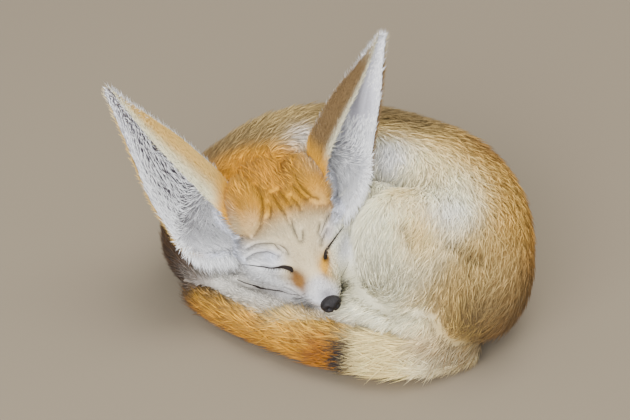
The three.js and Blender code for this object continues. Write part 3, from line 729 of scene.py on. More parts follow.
# %% Furrows of the forehead
FURROWS = [laid(stops) for stops in [
    [[-59, -3.9, 31.5], [-51.3, -3.3, 29.8], [-45.3, -2.7, 28.4]],
    [[-51.4, -6.5, 29.7], [-44.5, -1.7, 28.5], [-35.9, -0.4, 29.5]],
    [[-51.4, -16.2, 29.2], [-46.4, -12.1, 27.7], [-39.2, -10.5, 26.7]],
    [[-45.3, -19.7, 26.9], [-40.3, -18.9, 24.7], [-35.3, -18.5, 23.5]],
    [[-29.3, -14.9, 27.0], [-21.3, -15.9, 27.4], [-14.9, -18.3, 24.9]],
    [[-27.2, -10.4, 27.8], [-17.0, -11.1, 28.1], [-10.4, -13.4, 26.5], [-8.1, -16.0, 24.3],
     [-3.3, -17.1, 22.2], [-1.4, -21.6, 19.0]],
    [[-12.1, -7.6, 27.0], [-5.9, -8.4, 25.8], [-2.1, -10.8, 24.5]],
    [[-19.0, -2.5, 26.8], [-8.7, -2.7, 26.9], [-1.0, -2.3, 25.7], [6.8, -2.1, 23.1]],
    [[-19.0, 1.8, 26.2], [-10.1, 2.7, 26.2], [-2.6, 2.9, 26.3]],
    [[4.2, -1.4, 24.5], [10.5, -1.6, 21.0], [15.9, -1.5, 16.6]],
    [[12.9, 2.6, 19.9], [16.8, 0.2, 16.4]],
    [[11.5, 14.4, 18.9], [15.3, 11.0, 15.8]],
    [[14.1, 16.4, 15.2], [16.8, 12.2, 13.3], [19.6, 9.4, 10.7]],
    [[-15.9, 11.7, 28.1], [-10.5, 11.9, 27.4], [-4, 13, 26]],
    [[-28.3, 22.8, 26], [-11.8, 18.8, 24.4], [-6.8, 19.5, 22.4]],
    [[-54.1, 5.7, 31.0], [-46.7, 5.0, 29.0], [-37.5, 5.9, 29.0]],
    [[-45.6, 15.3, 28.5], [-37.5, 12.5, 27.2], [-27.6, 11.3, 28.1]],
    [[-19.0, -24.9, 16.5], [-9.7, -24.2, 18.6], [-4.2, -24.8, 16.9]],
    [[-9.9, 6.0, 28.3], [-2.3, 7.4, 27.1], [3.4, 7.1, 26.1]],
]]
print("furrows:", len(FURROWS))

# %% Folds of the lids, the cheek and the flank
LID_FOLDS = [laid(stops) for stops in [
    [[-0.1, -28.2, 11.8], [2.1, -24.9, 14.6], [6.8, -20.4, 17.2], [10.4, -15.9, 17.7],
     [13.9, -13.0, 15.9], [16.4, -11.7, 13.7]],
    [[12.2, -14.0, 16.8], [15.0, -11.1, 15.2], [17.7, -10.0, 12.4]],
    [[0.8, -31.1, 6.1], [5.8, -25.4, 11.8], [11.5, -19.6, 14.1], [16.2, -15.6, 12.6]],
    [[-18.7, -33.0, 1.1], [-9.5, -29.6, 11.8], [-6.4, -25.9, 16.6]],
    [[-20.9, -39.4, 0.3], [-22.0, -34.1, 2.2], [-20.0, -30.4, 7.5]],
    [[-20.9, -38.3, -5.9], [-20.7, -34.1, -3.9], [-13.6, -33.1, 3.6]],
    [[1.4, 29, 13.4], [7, 22.5, 18.4], [13.2, 16.1, 18], [17.1, 11.3, 15.5]],
]]
CHEEK = [[2.3, -40.2, -5.3], [7.0, -36.3, -6.6], [10.5, -32.3, -7.8], [14.0, -26.9, -8.4],
         [18.4, -22.0, -8.7], [23.6, -17.5, -8.6], [28.5, -14.5, -10.5], [33.0, -12.2, -13.5]]
CHEEK_EDGE = laid(CHEEK)
FOLDS = [laid(stops, False) for stops in [
    [[27, -25, 83], [30, -30.4, 79.4], [33.5, -35.6, 75.6]],
    [[54.9, -32.1, 73], [63.9, -37.9, 71.1], [70.9, -43.4, 68.3]],
    [[59.7, -38.6, 67.5], [61.3, -42.7, 64.3], [62.9, -46.3, 61.5]],
]]
MOUTH = [[48.5, 2.5, -10.5], [43, 7.2, -12], [35, 10.6, -12], [27, 15, -10.5], [19, 21, -10]]
print("folds of the lids:", len(LID_FOLDS), "and of the flank:", len(FOLDS))


# %% Paint the head
# A mark has its colour, strength, middle and reach, and whether it is on both sides.
FACE_MARKS = [
    (NOSE_GREY, 0.9, (46, 0, -2.5), (4.5, 5.0, 4.0), False),
    (TEAR, 1.3, (28.6, 10.4, 0.2), (6.6, 5.2, 5.6), True),
    (ORANGE, 1.8, (28.6, 9.2, 0.8), (7.4, 5.4, 6.0), False),
    (YELLOW_BUFF, 0.9, (33.5, 10.0, -3.0), (5.0, 4.5, 4.5), False),
    (TEAR_DARK, 0.9, (25.6, 10.6, 3.2), (3.0, 2.4, 2.8), True),
    (TEAR, 0.6, (33, 10.4, -2.5), (4.0, 2.2, 3.0), True),
    (LILAC_WHITE, 1.0, (14, 19, 12), (9, 7, 4), True),
]


def face_colours(p):
    """The face's colours, by the place in the head's frame."""
    x, side, z = p[:, 0], np.abs(p[:, 1]), p[:, 2]
    made = np.tile(FOREHEAD, (len(p), 1))
    made = paint(made, WHITE, smoothstep(side, 12, 22) * (1 - smoothstep(z, 8, 22)))
    made = paint(made, WHITE, (1 - smoothstep(z, -6, 2)) * 0.95)
    made = paint(made, LILAC_WHITE, smoothstep(-x, -6, 10) * smoothstep(side, 20, 30)
                 * (1 - smoothstep(z, 6, 20)) * 0.5)
    reach = smoothstep(-x + 0.25 * p[:, 1] * (p[:, 1] < 0), -13, 7)
    crown = reach * smoothstep(z + 0.3 * side, 18, 27) * (1 - smoothstep(side, 25, 31))
    made = paint(made, ORANGE, crown)
    made = paint(made, DEEP_ORANGE, 0.65 * crown * smoothstep(-x, 16, 30))
    made = paint(made, MUZZLE, 0.8 * smoothstep(x, 28, 36) * (1 - smoothstep(side, 3, 7) * 0.2))
    mirrored = np.stack([x, side, z], 1)
    for *mark, both_sides in FACE_MARKS:
        made = patched(made, mirrored if both_sides else p, [mark])
    return made


def head_colours(points):
    """The face's colours with the dark lines of the eyes drawn in, and painted shade in the
    furrows, in the folds of the lids and along the cheek's lower edge.
    """
    p = to_head(points)
    made = face_colours(p)
    # Painted shade: the furrows and the folds of the lids are darkened to a fifth of their colour.
    for stops in FURROWS:
        made = paint(made, made * 0.2, 0.95 * beside(p, stops, 1.15))
    for stops in LID_FOLDS:
        made = paint(made, made * 0.2, 0.95 * beside(p, stops, 0.95))
    # Painted shadow: a near-black line along the cheek's lower edge, where the cheek overhangs the
    # foot.
    made = paint(made, NEAR_BLACK, 0.9 * beside(p, CHEEK_EDGE, 0.9))
    for stops in EYE_LINES.values():
        made = paint(made, NEAR_BLACK, 0.9 * beside(p, stops[:DARK_POINTS], 0.9))
    return made


# %% Marks of the body
BACK_MARKS = [
    (DEEP_ORANGE, 0.5, (-60, 34, 70), (26, 14, 20)),
    (LILAC_WHITE, 0.8, (-30, 55, 87), (9, 9, 12)),
    (WHITE, 1.1, (21, 37, 79), (13, 12, 14)),
    (YELLOW_BUFF, 0.55, (50, 28, 80), (22, 24, 14)),
    (TIP_BROWN, 0.7, (77, 50, 74), (14, 16, 14)),
]
FLANK_MARKS = [
    (YELLOW_BUFF, 0.75, (27, 4, 85), (12, 15, 14)),
    (YELLOW_BUFF, 0.9, (38, -26, 72), (14, 20, 18)),
    (WHITE, 0.8, (54, -18, 84), (12, 11, 12)),
    (BUFF, 0.9, (66, -38, 58), (18, 16, 20)),
    (BACK_BUFF, 0.35, (68, -38, 58), (24, 18, 24)),
    (WHITE, 1.2, (-4, -8, 48), (6, 12, 9)),
    (TAIL_TOP, 0.45, (54, -50, 26), (16, 12, 14)),
]


# %% Paint the body
def round_trunk(points):
    """The azimuth of each point round the trunk's axis, from -100 to 260 degrees, and its
    distance from that axis."""
    away = points[:, :2] - TRUNK_AXIS
    azimuth = np.degrees(np.arctan2(away[:, 1], away[:, 0]))
    return np.where(azimuth < -100, azimuth + 360, azimuth), np.linalg.norm(away, axis=1)


def body_colours(points, weights):
    """The body's colours: cream towards the middle of the ring, buff to rust on its outer rim,
    by azimuth and radius round the trunk's axis and by the limb that a point belongs to, with
    painted shade on the low rump, the low shoulder and in the folds of the flank."""
    azimuth, radius = round_trunk(points)
    z = points[:, 2]
    inner = np.interp(azimuth, [-50, -25, 0, 20, 45, 75, 110, 140, 190],
                      [68, 74, 65, 53, 40, 35, 28, 22, 30])
    outer = inner + np.interp(azimuth, [-50, 20, 60, 120], [18, 22, 20, 30])
    side = np.maximum(0, 62 - z) * 0.55
    rim = smoothstep(radius + side, inner, outer)
    made = np.tile(CREAM, (len(points), 1))
    made = paint(made, BUFF, rim)
    top = smoothstep(azimuth, 20, 45) * (1 - smoothstep(azimuth, 152, 174))
    made = paint(made, BACK_BUFF, smoothstep(radius + side, outer - 8, outer + 10) * top)
    right = 1 - smoothstep(azimuth, 15, 50)
    made = paint(made, RIM, smoothstep(radius + side, outer - 6, outer + 8) * right * 0.85)
    made = paint(made, RUST, smoothstep(radius + side, outer + 10, outer + 26) * right * 0.5)
    # Painted shade: the low outer rump is darkened to dark brown.
    low_rump_shade = (1 - smoothstep(azimuth, -26, 4)) * (1 - smoothstep(z, 34, 72))
    made = paint(made, DARK_BROWN, low_rump_shade * smoothstep(radius, 78, 100))
    made = paint(made, BACK_BUFF, 0.7 * patch(points, (80, -40, 50), (20, 18, 20)))
    left = smoothstep(azimuth, 150, 178)
    made = paint(made, RUST, left * 0.8)
    made = paint(made, SHADE_BROWN, left * (1 - smoothstep(z, 34, 66)))
    made = paint(made, BUFF, 0.45 * patch(points, (-42, 76, 76), (24, 20, 20)))
    dome = np.linalg.norm((points - [-50, 24, 66]) / [38, 32, 32], axis=1)
    made = paint(made, ORANGE, (1 - smoothstep(dome, 0.7, 1.15)) * smoothstep(z, 50, 60))
    made = patched(made, points, BACK_MARKS)
    hock = patch(points, (36, -44, 18), (18, 15, 20))
    leg = np.clip(weights["thigh"] + weights["flank"] + weights["shank"] + 1.2 * hock, 0, 1)
    made = paint(made, CREAM, leg * (1 - smoothstep(points[:, 0], 48, 74)) * 0.9)
    made = patched(made, points, FLANK_MARKS)
    # Painted shade: the folds of the flank are darkened to about a third of their colour.
    for stops in FOLDS:
        made = paint(made, made * 0.35, 0.9 * beside(points, stops, 1.3))
    foot = np.clip(weights["feet"], 0, 1)
    made = paint(made, FOOT, foot)
    made = paint(made, TOE_GREY, foot * (1 - smoothstep(points[:, 0], -90, -76)))
    made = paint(made, RUST, weights["foreleg_right"] * 0.7)
    return paint(made, tail_colours(points), weights["tail"])


# %% Find the cups of the ears
CUP_REACH = 24
CUP_FADE = 8
CUP_ROWS = 40
CUP_COLUMNS = 25
NO_EAR_NEAR = 99.0
EARS_END = 20
BEHIND_WALL = 0.8
TOUCHING = 1.5


def grid_quads(rows, columns):
    """The four corners of each cell of a grid."""
    row, column = np.meshgrid(np.arange(rows - 1), np.arange(columns - 1), indexing="ij")
    a = (row * columns + column).ravel()
    return np.stack([a, a + 1, a + columns + 1, a + columns], 1)


cups = []
cells = grid_quads(CUP_ROWS, CUP_COLUMNS)
for ear in EARS.values():
    grid = np.linspace(0, 1, CUP_ROWS), np.linspace(-1, 1, CUP_COLUMNS)
    sheet = from_head(ear_surface(ear, *grid, np.zeros((CUP_ROWS, CUP_COLUMNS))))
    deeper = from_head(ear_surface(ear, *grid, np.ones((CUP_ROWS, CUP_COLUMNS))))
    tree = BVHTree.FromPolygons(sheet.reshape(-1, 3).tolist(), cells.tolist())
    cups.append((tree, (deeper - sheet).reshape(-1, 3)[cells].mean(1)))
print("cups:", len(cups), "of", len(cells), "cells each")


def in_cups(points):
    """1 in the open cup of an ear, 0 outside it: the way to the nearest place of the ear's sheet
    must point out of the cup's wall and be short. Also returns how near the nearest ear is."""
    inside = np.zeros(len(points))
    nearest = np.full(len(points), NO_EAR_NEAR)
    behind_eyes = 1 - smoothstep(to_head(points)[:, 0], 10, 20)
    for tree, into in cups:
        for index in np.flatnonzero(points[:, 0] < EARS_END):
            place, _, cell, far = tree.find_nearest(Vector(points[index]), CUP_REACH)
            if place is None:
                continue
            nearest[index] = min(nearest[index], far)
            depth = (points[index] - place) @ into[cell]
            slant = depth / max(far, 0.01)
            touching = far < TOUCHING
            if depth > -BEHIND_WALL and (slant > 0.3 or touching):
                share = min(1, (depth + BEHIND_WALL) / 2)
                share *= 1 if touching else min(1, slant * 4 - 1.2)
                inside[index] = max(inside[index], share * min(1, (CUP_REACH - far) / CUP_FADE))
    return inside * behind_eyes, nearest


# %% Paint the whole coat
TAIL_MARKS = [
    (RUST, 1.0, (-17, -60, 13), (13, 12, 12)),
    (NEAR_BLACK, 1.3, (-5, -63, 13), (5.5, 10, 11)),
    (DARK_BROWN, 0.8, (36.5, -63.5, 21), (2.6, 4, 6)),
    (DARK_BROWN, 0.6, (30, -65, 19), (2.0, 4, 5)),
]


def coat_colours(points, weights):
    """The body's colours with the head's mixed in where the skin belongs to the head, white in
    the ear cups, and painted shade just below the cheek's lower edge.
    """
    made = body_colours(points, weights)
    on_head = weights["head"] > 0.01
    face = head_colours(points[on_head])
    made[on_head] = paint(made[on_head], face, weights["head"][on_head])
    made = paint(made, CUP_WHITE, in_cups(points)[0])
    place = to_head(points)
    # Painted shade: dark brown just below the cheek's lower edge, where the cheek overhangs the foot.
    under = beside(place, CHEEK_EDGE, 4.0) * smoothstep(-place[:, 2], 8, 10.5)
    return paint(made, DARK_BROWN, 0.6 * under)


def tail_colours(points):
    """The tail: yellow cream at its root, a dark patch over the gland, then orange, yellower on
    top and rusty below, and a brown tip."""
    x, z = points[:, 0], points[:, 2]
    made = np.tile(TAIL_CREAM, (len(points), 1))
    made = paint(made, CREAM, 0.6 * smoothstep(x, 22, 42))
    past_patch = 1 - smoothstep(x, -12, 0)
    made = paint(made, TAIL_ORANGE, past_patch)
    made = paint(made, TAIL_TOP, 0.85 * past_patch * smoothstep(z, 13, 23))
    made = paint(made, RUST, past_patch * (1 - smoothstep(z, 3, 14)) * 0.8)
    made = paint(made, TAIL_TOP, (1 - past_patch) * (1 - smoothstep(z, 3, 10)) * 0.4)
    made = patched(made, points, TAIL_MARKS)
    return paint(made, DARK_BROWN, 0.8 * (1 - smoothstep(x, -96, -84)))


# %% [markdown]
# ## Creases and the unwrap
#
# The closed eyes, the furrows of the forehead and the folds of the flank are grooves: each point
# of the skin sinks by a bell of its distance from the line. A bump in a material would be cheaper,
# but it leaves no mark in the mesh. Then the skin is unwrapped, so that each tuft can find its
# own place on the map.

# %% Details worked into the skin
weights = dict(part, feet=feet)
head_place = to_head(skin_points)
dent = np.zeros(len(skin_points))
for stops in (*FURROWS, *LID_FOLDS):
    dent += 1.2 * beside(head_place, stops, 1.4)
for stops in EYE_LINES.values():
    dent += 0.9 * beside(head_place, stops[:DARK_POINTS], 1.1)
dent += 4.0 * beside(head_place, CHEEK_EDGE, 2.2)
for stops in FOLDS:
    dent += 2.2 * beside(skin_points, stops, 2.6)
skin_points = skin_points - skin_normals * dent[:, None]
skin_points[:, 2] = np.maximum(skin_points[:, 2], FLOOR_GAP)
skin_normals = normals_of(skin_points, skin_quads)
skin_colours = coat_colours(skin_points, weights)

skin = new_mesh("skin", skin_points, skin_quads, [])
point_colours(skin, "Coat", skin_colours)
print("skin made:", len(skin.data.polygons), "faces")

# %% Unwrap the skin
bpy.context.view_layer.objects.active = skin
skin.select_set(True)
skin.data.uv_layers.new(name="OFBake")
bpy.ops.object.mode_set(mode="EDIT")
bpy.ops.mesh.select_all(action="SELECT")
bpy.ops.uv.smart_project(angle_limit=1.2, island_margin=0.002)
bpy.ops.object.mode_set(mode="OBJECT")
skin.select_set(False)
skin_uv = np.empty(len(skin.data.loops) * 2, np.float32)
skin.data.uv_layers["OFBake"].data.foreach_get("uv", skin_uv)
skin_uv = skin_uv.reshape(-1, 4, 2)
print("unwrapped corners:", len(skin_uv) * 4)

# %% [markdown]
# ## The lie of the coat
#
# Hair leans back from the nose, over the head and along the body to the rump, and down over the
# flank and thigh. Each part of the skin has its own direction; they are mixed where parts meet,
# laid flat on the skin and disturbed a little, as real fur never lies quite even.


# %% Directions
WAVES = 6


def wobble(points, size, seed):
    """A smooth random field: for each axis the mean of six sine waves with random directions."""
    draw = np.random.default_rng(seed)
    total = np.zeros((len(points), 3))
    for _ in range(WAVES):
        wave = draw.normal(size=3) * 2 * np.pi / size * 0.6
        phase = draw.uniform(0, 2 * np.pi, 3)
        total += np.sin((points @ wave)[:, None] + phase)
    return total / WAVES


LOW_FLANK_LIE = [-0.85, -0.35, -0.25]
LIE_PASSES = 60


def lie_of_coat(points, normals):
    """The direction in which the hair lies at each point of the skin."""
    radius = round_trunk(points)[1]
    flank_lie = np.tile(FLANK_LIE, (len(points), 1))
    low = (1 - smoothstep(points[:, 2], 34, 62))[:, None]
    flank_lie = flank_lie * (1 - low) + np.array(LOW_FLANK_LIE) * low
    total = np.zeros((len(points), 3))
    for name in names:
        lie = gaps[name][1].copy()
        if name == "trunk":
            inward = (1 - smoothstep(radius, 40, 66))[:, None]
            lie = lie * (1 - inward) + flank_lie * inward + [0, 0, -0.12]
        if name in ("thigh", "flank"):
            lie = flank_lie
        if name == "head":
            place = to_head(points)
            spread = np.sign(place[:, 1]) * smoothstep(np.abs(place[:, 1]), 6, 26)
            local = np.stack([-np.ones(len(points)), 0.6 * spread,
                              -0.35 * smoothstep(-place[:, 2], -14, 10)], 1)
            lie = local @ HEAD_TURN.T
        total += lie * part[name][:, None]
    for _ in range(LIE_PASSES):
        total = smoothed(total, 0.8 * (1 - part["head"]))
    total += 0.34 * wobble(points, 34, 3) + 0.12 * wobble(points, 9, 4)
    return unit(total - normals * (total * normals).sum(1, keepdims=True))


skin_lie = lie_of_coat(skin_points, skin_normals)

# %% Length and lean
TOE_LENGTH = 3.0
CROWN_MORE = 3.4
RUFF_MORE = 9
MUZZLE_LESS = 1.9
CUP_LENGTH = 8
BY_EAR_LENGTH = 5
BY_FACE_LENGTH = 3
LEAN = 14.5
RIM_LEAN = 11
COAT_LENGTH = dict(trunk=15, thigh=14.5, flank=14.5, neck=12, shank=10, foot=5, under_foot=6,
                   foreleg_right=7, foreleg_left=7, tail=21, head=4.2)
coat_length = sum(part[name] * COAT_LENGTH.get(name, TOE_LENGTH) for name in names)
x, side, z = head_place[:, 0], np.abs(head_place[:, 1]), head_place[:, 2]
crown = smoothstep(-x, -8, 14) * smoothstep(z, 12, 24)
ruff = smoothstep(-x, -9, 6) * smoothstep(side, 18, 28) * (1 - smoothstep(z, 6, 18))
muzzle = smoothstep(x, 22, 36)
coat_length += part["head"] * (CROWN_MORE * crown + RUFF_MORE * ruff - MUZZLE_LESS * muzzle)
cup_share, ear_gap = in_cups(skin_points)
coat_length += (CUP_LENGTH - coat_length) * cup_share
coat_length += (BY_EAR_LENGTH - coat_length) * (1 - smoothstep(ear_gap, 1, 8)) * (1 - part["head"])
for stops in EYE_LINES.values():
    coat_length *= 1 - 0.65 * beside(head_place, stops, 3.5)
coat_length *= 1 - 0.7 * beside(head_place, CHEEK_EDGE, 3.2)
for stops in (*FURROWS, *LID_FOLDS):
    coat_length *= 1 - 0.5 * beside(head_place, stops, 2.0)
coat_length *= 1 - 0.55 * toes
beside_face = (1 - smoothstep(gaps["head"][0], 2, 13)) * smoothstep(x, 2, 12) * (1 - part["head"])
coat_length += (BY_FACE_LENGTH - coat_length) * beside_face
rim_stand = part["trunk"] * smoothstep(skin_points[:, 2], 50, 78)
coat_lean = LEAN + RIM_LEAN * rim_stand + part["head"] * (14 * ruff - 5 * muzzle)
coat_lean = np.radians(coat_lean)
print("coat length, mm:", round(coat_length.min(), 1), "to", round(coat_length.max(), 1))

# %% [markdown]
# ## Tufts
#
# A tuft is a thin three-sided blade with a root, a middle and a tip, bent so that it rises from
# the skin and lies down again. Particle hair would be quicker to make, but it is lost when a
# model is exported, and solid tufts are not. The dense undercoat and the down of the ears use a
# blade without a middle, because only its tips are seen.


# %% Scatter roots
def scatter(points, quads, uv, weight, amount, draw):
    """Random places on a surface, more where area times weight is larger: a face is picked by
    its share of the running total, and a place in it by two random shares. Returns, for each
    root, the three corners, their shares and the place on the unwrap."""
    corners = np.vstack([quads[:, [0, 1, 2]], quads[:, [0, 2, 3]]])
    corner_uv = np.vstack([uv[:, [0, 1, 2]], uv[:, [0, 2, 3]]])
    area = np.linalg.norm(np.cross(points[corners[:, 1]] - points[corners[:, 0]],
                                   points[corners[:, 2]] - points[corners[:, 0]]), axis=1) / 2
    running = np.cumsum(area * weight[corners].mean(1))
    picked = np.searchsorted(running, (np.arange(amount) + draw.random(amount)) / amount
                             * running[-1])
    picked = np.minimum(picked, len(corners) - 1)
    u, v = draw.random((2, amount))
    fold = u + v > 1
    u[fold], v[fold] = 1 - u[fold], 1 - v[fold]
    shares = np.stack([1 - u - v, u, v], 1)
    place = (corner_uv[picked] * shares[..., None]).sum(1)
    return corners[picked], shares, place


def at_roots(values, corners, shares):
    """A value of the surface at each root: the corners' values mixed by their shares."""
    if values.ndim == 1:
        return (values[corners] * shares).sum(1)
    return (values[corners] * shares[..., None]).sum(1)


# %% Build tufts
PATCH = 0.003
ROOT_SHADE = 0.58
SWAY = 0.16
BEND = 0.45
TUFT_HEIGHT = 1.6
LOWEST_TUFT = 0.15


def tufts(name, root, normal, lie, length, width, lean, tint, tip_tint, place, draw,
          short=False, sunk=0.7):
    """One mesh of many tufts. Along its length s, a tuft runs length * cos(lean) * s along the
    lie and length * sin(lean) * (s - BEND s s) out of the skin, and sways to a side by s s. Its
    section is a flat triangle that closes at the tip and is widest in the middle, or at the root
    of a short one, which has no middle."""
    amount = len(root)
    across = unit(np.cross(lie, normal))
    sway = draw.normal(0, SWAY, amount) * length
    levels = [(0.0, 0.75), (0.5, 1.0), (1.0, 0.0)] if not short else [(0.0, 1.0), (1.0, 0.0)]
    points, patches, tints = [], [], []
    for s, wide in levels:
        middle = (
            root + lie * (length * np.cos(lean) * s)[:, None]
            + normal * (length * np.sin(lean) * (s - BEND * s * s) - sunk * (s == 0))[:, None]
            + across * (sway * s * s)[:, None]
        )
        shade = ROOT_SHADE if s == 0 else 1.0
        level_tint = tip_tint if s == 1 else tint * shade
        if s == 1:
            points.append(middle)
            patches.append(place + [0, PATCH / 2])
            tints.append(level_tint)
            continue
        half = (width * wide / 2)[:, None]
        for shift, rise, u in ((-1, 0, -0.5), (1, 0, 0.5), (0, 0.5, 0.0)):
            points.append(middle + across * half * shift + normal * half * rise * TUFT_HEIGHT)
            patches.append(place + [u * PATCH, (s - 0.5) * PATCH])
            tints.append(level_tint)
    per = len(points)
    points = np.stack(points, 1).reshape(-1, 3)
    points[:, 2] = np.maximum(points[:, 2], LOWEST_TUFT)
    first = (np.arange(amount) * per)[:, None]
    if short:
        quads = np.zeros((0, 4), int)
        local = [[0, 1, 2], [0, 3, 1], [1, 3, 2], [2, 3, 0]]
    else:
        quads = (first[..., None] + np.array([[0, 3, 4, 1], [1, 4, 5, 2], [2, 5, 3, 0]])
                 ).reshape(-1, 4)
        local = [[0, 1, 2], [3, 6, 4], [4, 6, 5], [5, 6, 3]]
    triangles = (first[..., None] + np.array(local)).reshape(-1, 3)
    made = new_mesh(name, points, quads, triangles)
    point_colours(made, "Coat", np.stack(tints, 1).reshape(-1, 3))
    layer = made.data.uv_layers.new(name="OFBake")
    loops = np.concatenate([quads.ravel(), triangles.ravel()])
    patches = np.stack(patches, 1).reshape(-1, 2)
    layer.data.foreach_set("uv", patches[loops].astype(np.float32).ravel())
    count = 2 * len(quads) + len(triangles)
    print(f"{name}: {amount} tufts, {count} triangles")
    return made


# %% Root colours
def varied(tint, draw, spread=0.08):
    """Each tuft a little lighter or darker than the marking it grows from."""
    return tint * np.clip(1 + draw.normal(0, spread, (len(tint), 1)), 0.6, 1.3)


# %% Where the coat grows
hidden = smoothstep(-skin_normals[:, 2], 0.35, 0.8)
clear_of_floor = smoothstep(skin_points[:, 2], 0.5, 2.5)
density = (0.9 + 2.2 * part["head"] * smoothstep(x, -6, 8) + 0.7 * part["head"] + 0.8 * feet
           + 0.8 * part["head"] * crown)
density *= (1 - 0.93 * hidden) * clear_of_floor
bare = np.zeros(len(skin_points))
for stops in EYE_LINES.values():
    bare = np.maximum(bare, beside(head_place, stops[:DARK_POINTS], 1.25, power=4))
for stops in (*FURROWS, *LID_FOLDS, CHEEK_EDGE):
    bare = np.maximum(bare, 0.85 * beside(head_place, stops, 0.7, power=4))
density *= 1 - bare * part["head"]
print("density of the coat:", round(density.min(), 2), "to", round(density.max(), 2))


# %% Clumps
def clumped(root, lie, length, size, pull):
    """Hairs lean together in clumps: roots in one cell of a bent grid share a clump, and each
    tuft's tip moves towards the clump's middle. Returns the new lie and the clump's number."""
    cell = np.floor((root + 0.5 * size[:, None] * wobble(root, 9, 17)) / size[:, None]).astype(int)
    _, group = np.unique(cell, axis=0, return_inverse=True)
    group = group.ravel()
    count = np.bincount(group)
    middle = np.stack([np.bincount(group, root[:, axis]) / count for axis in range(3)], 1)[group]
    return unit(lie * length[:, None] + (middle - root) * pull), group


# %% Grow one layer
CLUMP_PULL = 0.6
BRIGHTEST = 0.92


def grow(amount, weight, stretch, draw):
    """Places one layer of tufts. Each takes its length, lean and lie from the skin at its root
    and its colour from the marking at the place where it is seen, half way along. Returns the
    tufts' values and, for each, its part, its azimuth and how far forward on the head it is."""
    corners, shares, place = scatter(skin_points, skin_quads, skin_uv, weight, amount, draw)
    root = at_roots(skin_points, corners, shares)
    normal = unit(at_roots(skin_normals, corners, shares))
    lie = at_roots(skin_lie, corners, shares) + 0.1 * draw.normal(size=(amount, 3))
    length = at_roots(coat_length, corners, shares) * draw.uniform(0.7, 1.15, amount) * stretch
    pull = CLUMP_PULL * (1 - 0.4 * at_roots(part["head"], corners, shares))[:, None]
    lie, group = clumped(root, lie, length, np.interp(length, [3, 8], [2.6, 6.0]), pull)
    lie = unit(lie - normal * (lie * normal).sum(1, keepdims=True))
    lean = at_roots(coat_lean, corners, shares) * draw.uniform(0.55, 1.35, amount)
    seen = root + lie * (0.5 * length)[:, None]
    at = {name: at_roots(value, corners, shares) for name, value in weights.items()}
    light = 1 + 0.07 * draw.normal(size=group.max() + 1)[group] + 0.1 * wobble(root, 7, 21)[:, 0]
    tint = coat_colours(seen, at) * np.clip(light, 0.7, 1.3)[:, None]
    biggest = np.argmax(np.stack([at[name] for name in names], 1), 1)
    owner = np.array(names)[biggest]
    azimuth, reach = round_trunk(seen)
    dark_tip = (owner == "trunk") * (draw.random(amount) < 0.4) * smoothstep(reach, 68, 92)
    tip_tint = np.minimum(varied(tint, draw) * 1.08, BRIGHTEST)
    tip_tint = paint(tip_tint, TIP_BROWN, dark_tip * 0.7)
    width = np.interp(length, [2.5, 6, 14, 24], [0.38, 0.52, 0.7, 0.9])
    width *= draw.uniform(0.8, 1.25, amount) * (1 - 0.32 * (owner == "head"))
    values = [root, normal, lie, length, width, lean, varied(tint, draw), tip_tint, place]
    return values, owner, azimuth, to_head(root)[:, 0]


# %% Part a layer into pieces
CHEST_FROM = 112
LOIN_FROM = 48
BACK_FROM = 6
MUZZLE_FROM = 20
FACE_FROM = 4
FEWEST_TUFTS = 50
coat = {}


def hand_out(layer, short, values, owner, azimuth, forward, draw):
    """Parts a layer into pieces by the part of the skin that each tuft grows on, on the trunk by
    its azimuth in degrees and on the head by how far forward it is in millimetres."""
    on_trunk = owner == "trunk"
    on_head = owner == "head"
    pieces = {
        "muzzle": on_head & (forward >= MUZZLE_FROM),
        "face": on_head & (forward < MUZZLE_FROM) & (forward >= FACE_FROM),
        "crown": on_head & (forward < FACE_FROM),
        "neck": owner == "neck",
        "chest": on_trunk & (azimuth >= CHEST_FROM),
        "loin": on_trunk & (azimuth < CHEST_FROM) & (azimuth >= LOIN_FROM),
        "back": on_trunk & (azimuth < LOIN_FROM) & (azimuth >= BACK_FROM),
        "rump": on_trunk & (azimuth < BACK_FROM),
        "thigh": np.isin(owner, ["thigh", "shank"]),
        "flank": owner == "flank",
        "tail": owner == "tail",
        "legs": np.isin(owner, ["foreleg_left", "foreleg_right", "foot", "under_foot"])
        | np.char.startswith(owner, "toe"),
    }
    for name, chosen in pieces.items():
        if chosen.sum() < FEWEST_TUFTS:
            continue
        chosen_values = [value[chosen] for value in values]
        coat[f"{layer}_{name}"] = tufts(f"{layer}_{name}", *chosen_values, draw, short=short)


# %% Grow the coat on the skin
DOWN_AMOUNT = 225000
DOWN_STRETCH = 0.85
GUARD_AMOUNT = 29000
GUARD_STRETCH = 1.05
draw = np.random.default_rng(11)
hand_out("down", True, *grow(DOWN_AMOUNT, density, DOWN_STRETCH, draw), draw)
guard_weight = density * (1 - 0.92 * part["head"] * (1 - ruff)) * (1 + 1.2 * part["tail"])
hand_out("guard", False, *grow(GUARD_AMOUNT, guard_weight, GUARD_STRETCH, draw), draw)
print("coat triangles:", sum(len(piece.data.loops) - 2 * len(piece.data.polygons)
                             for piece in coat.values()))

# %% [markdown]
# ## Ears
#
# A fennec's ear is a thin leaf rolled into a cup. Three lines run from its root to its tip: the
# front rim, the spine of its back and the outer rim. At each height the section is an arc through
# the three, and a second surface lies inside the first, one wall apart.

# %% Ear colours
# Painted light: the inside of the left ear is made lighter than the right's, for the light that falls
# on it.
LEFT_EAR_PAINTED_LIGHT = 0.76


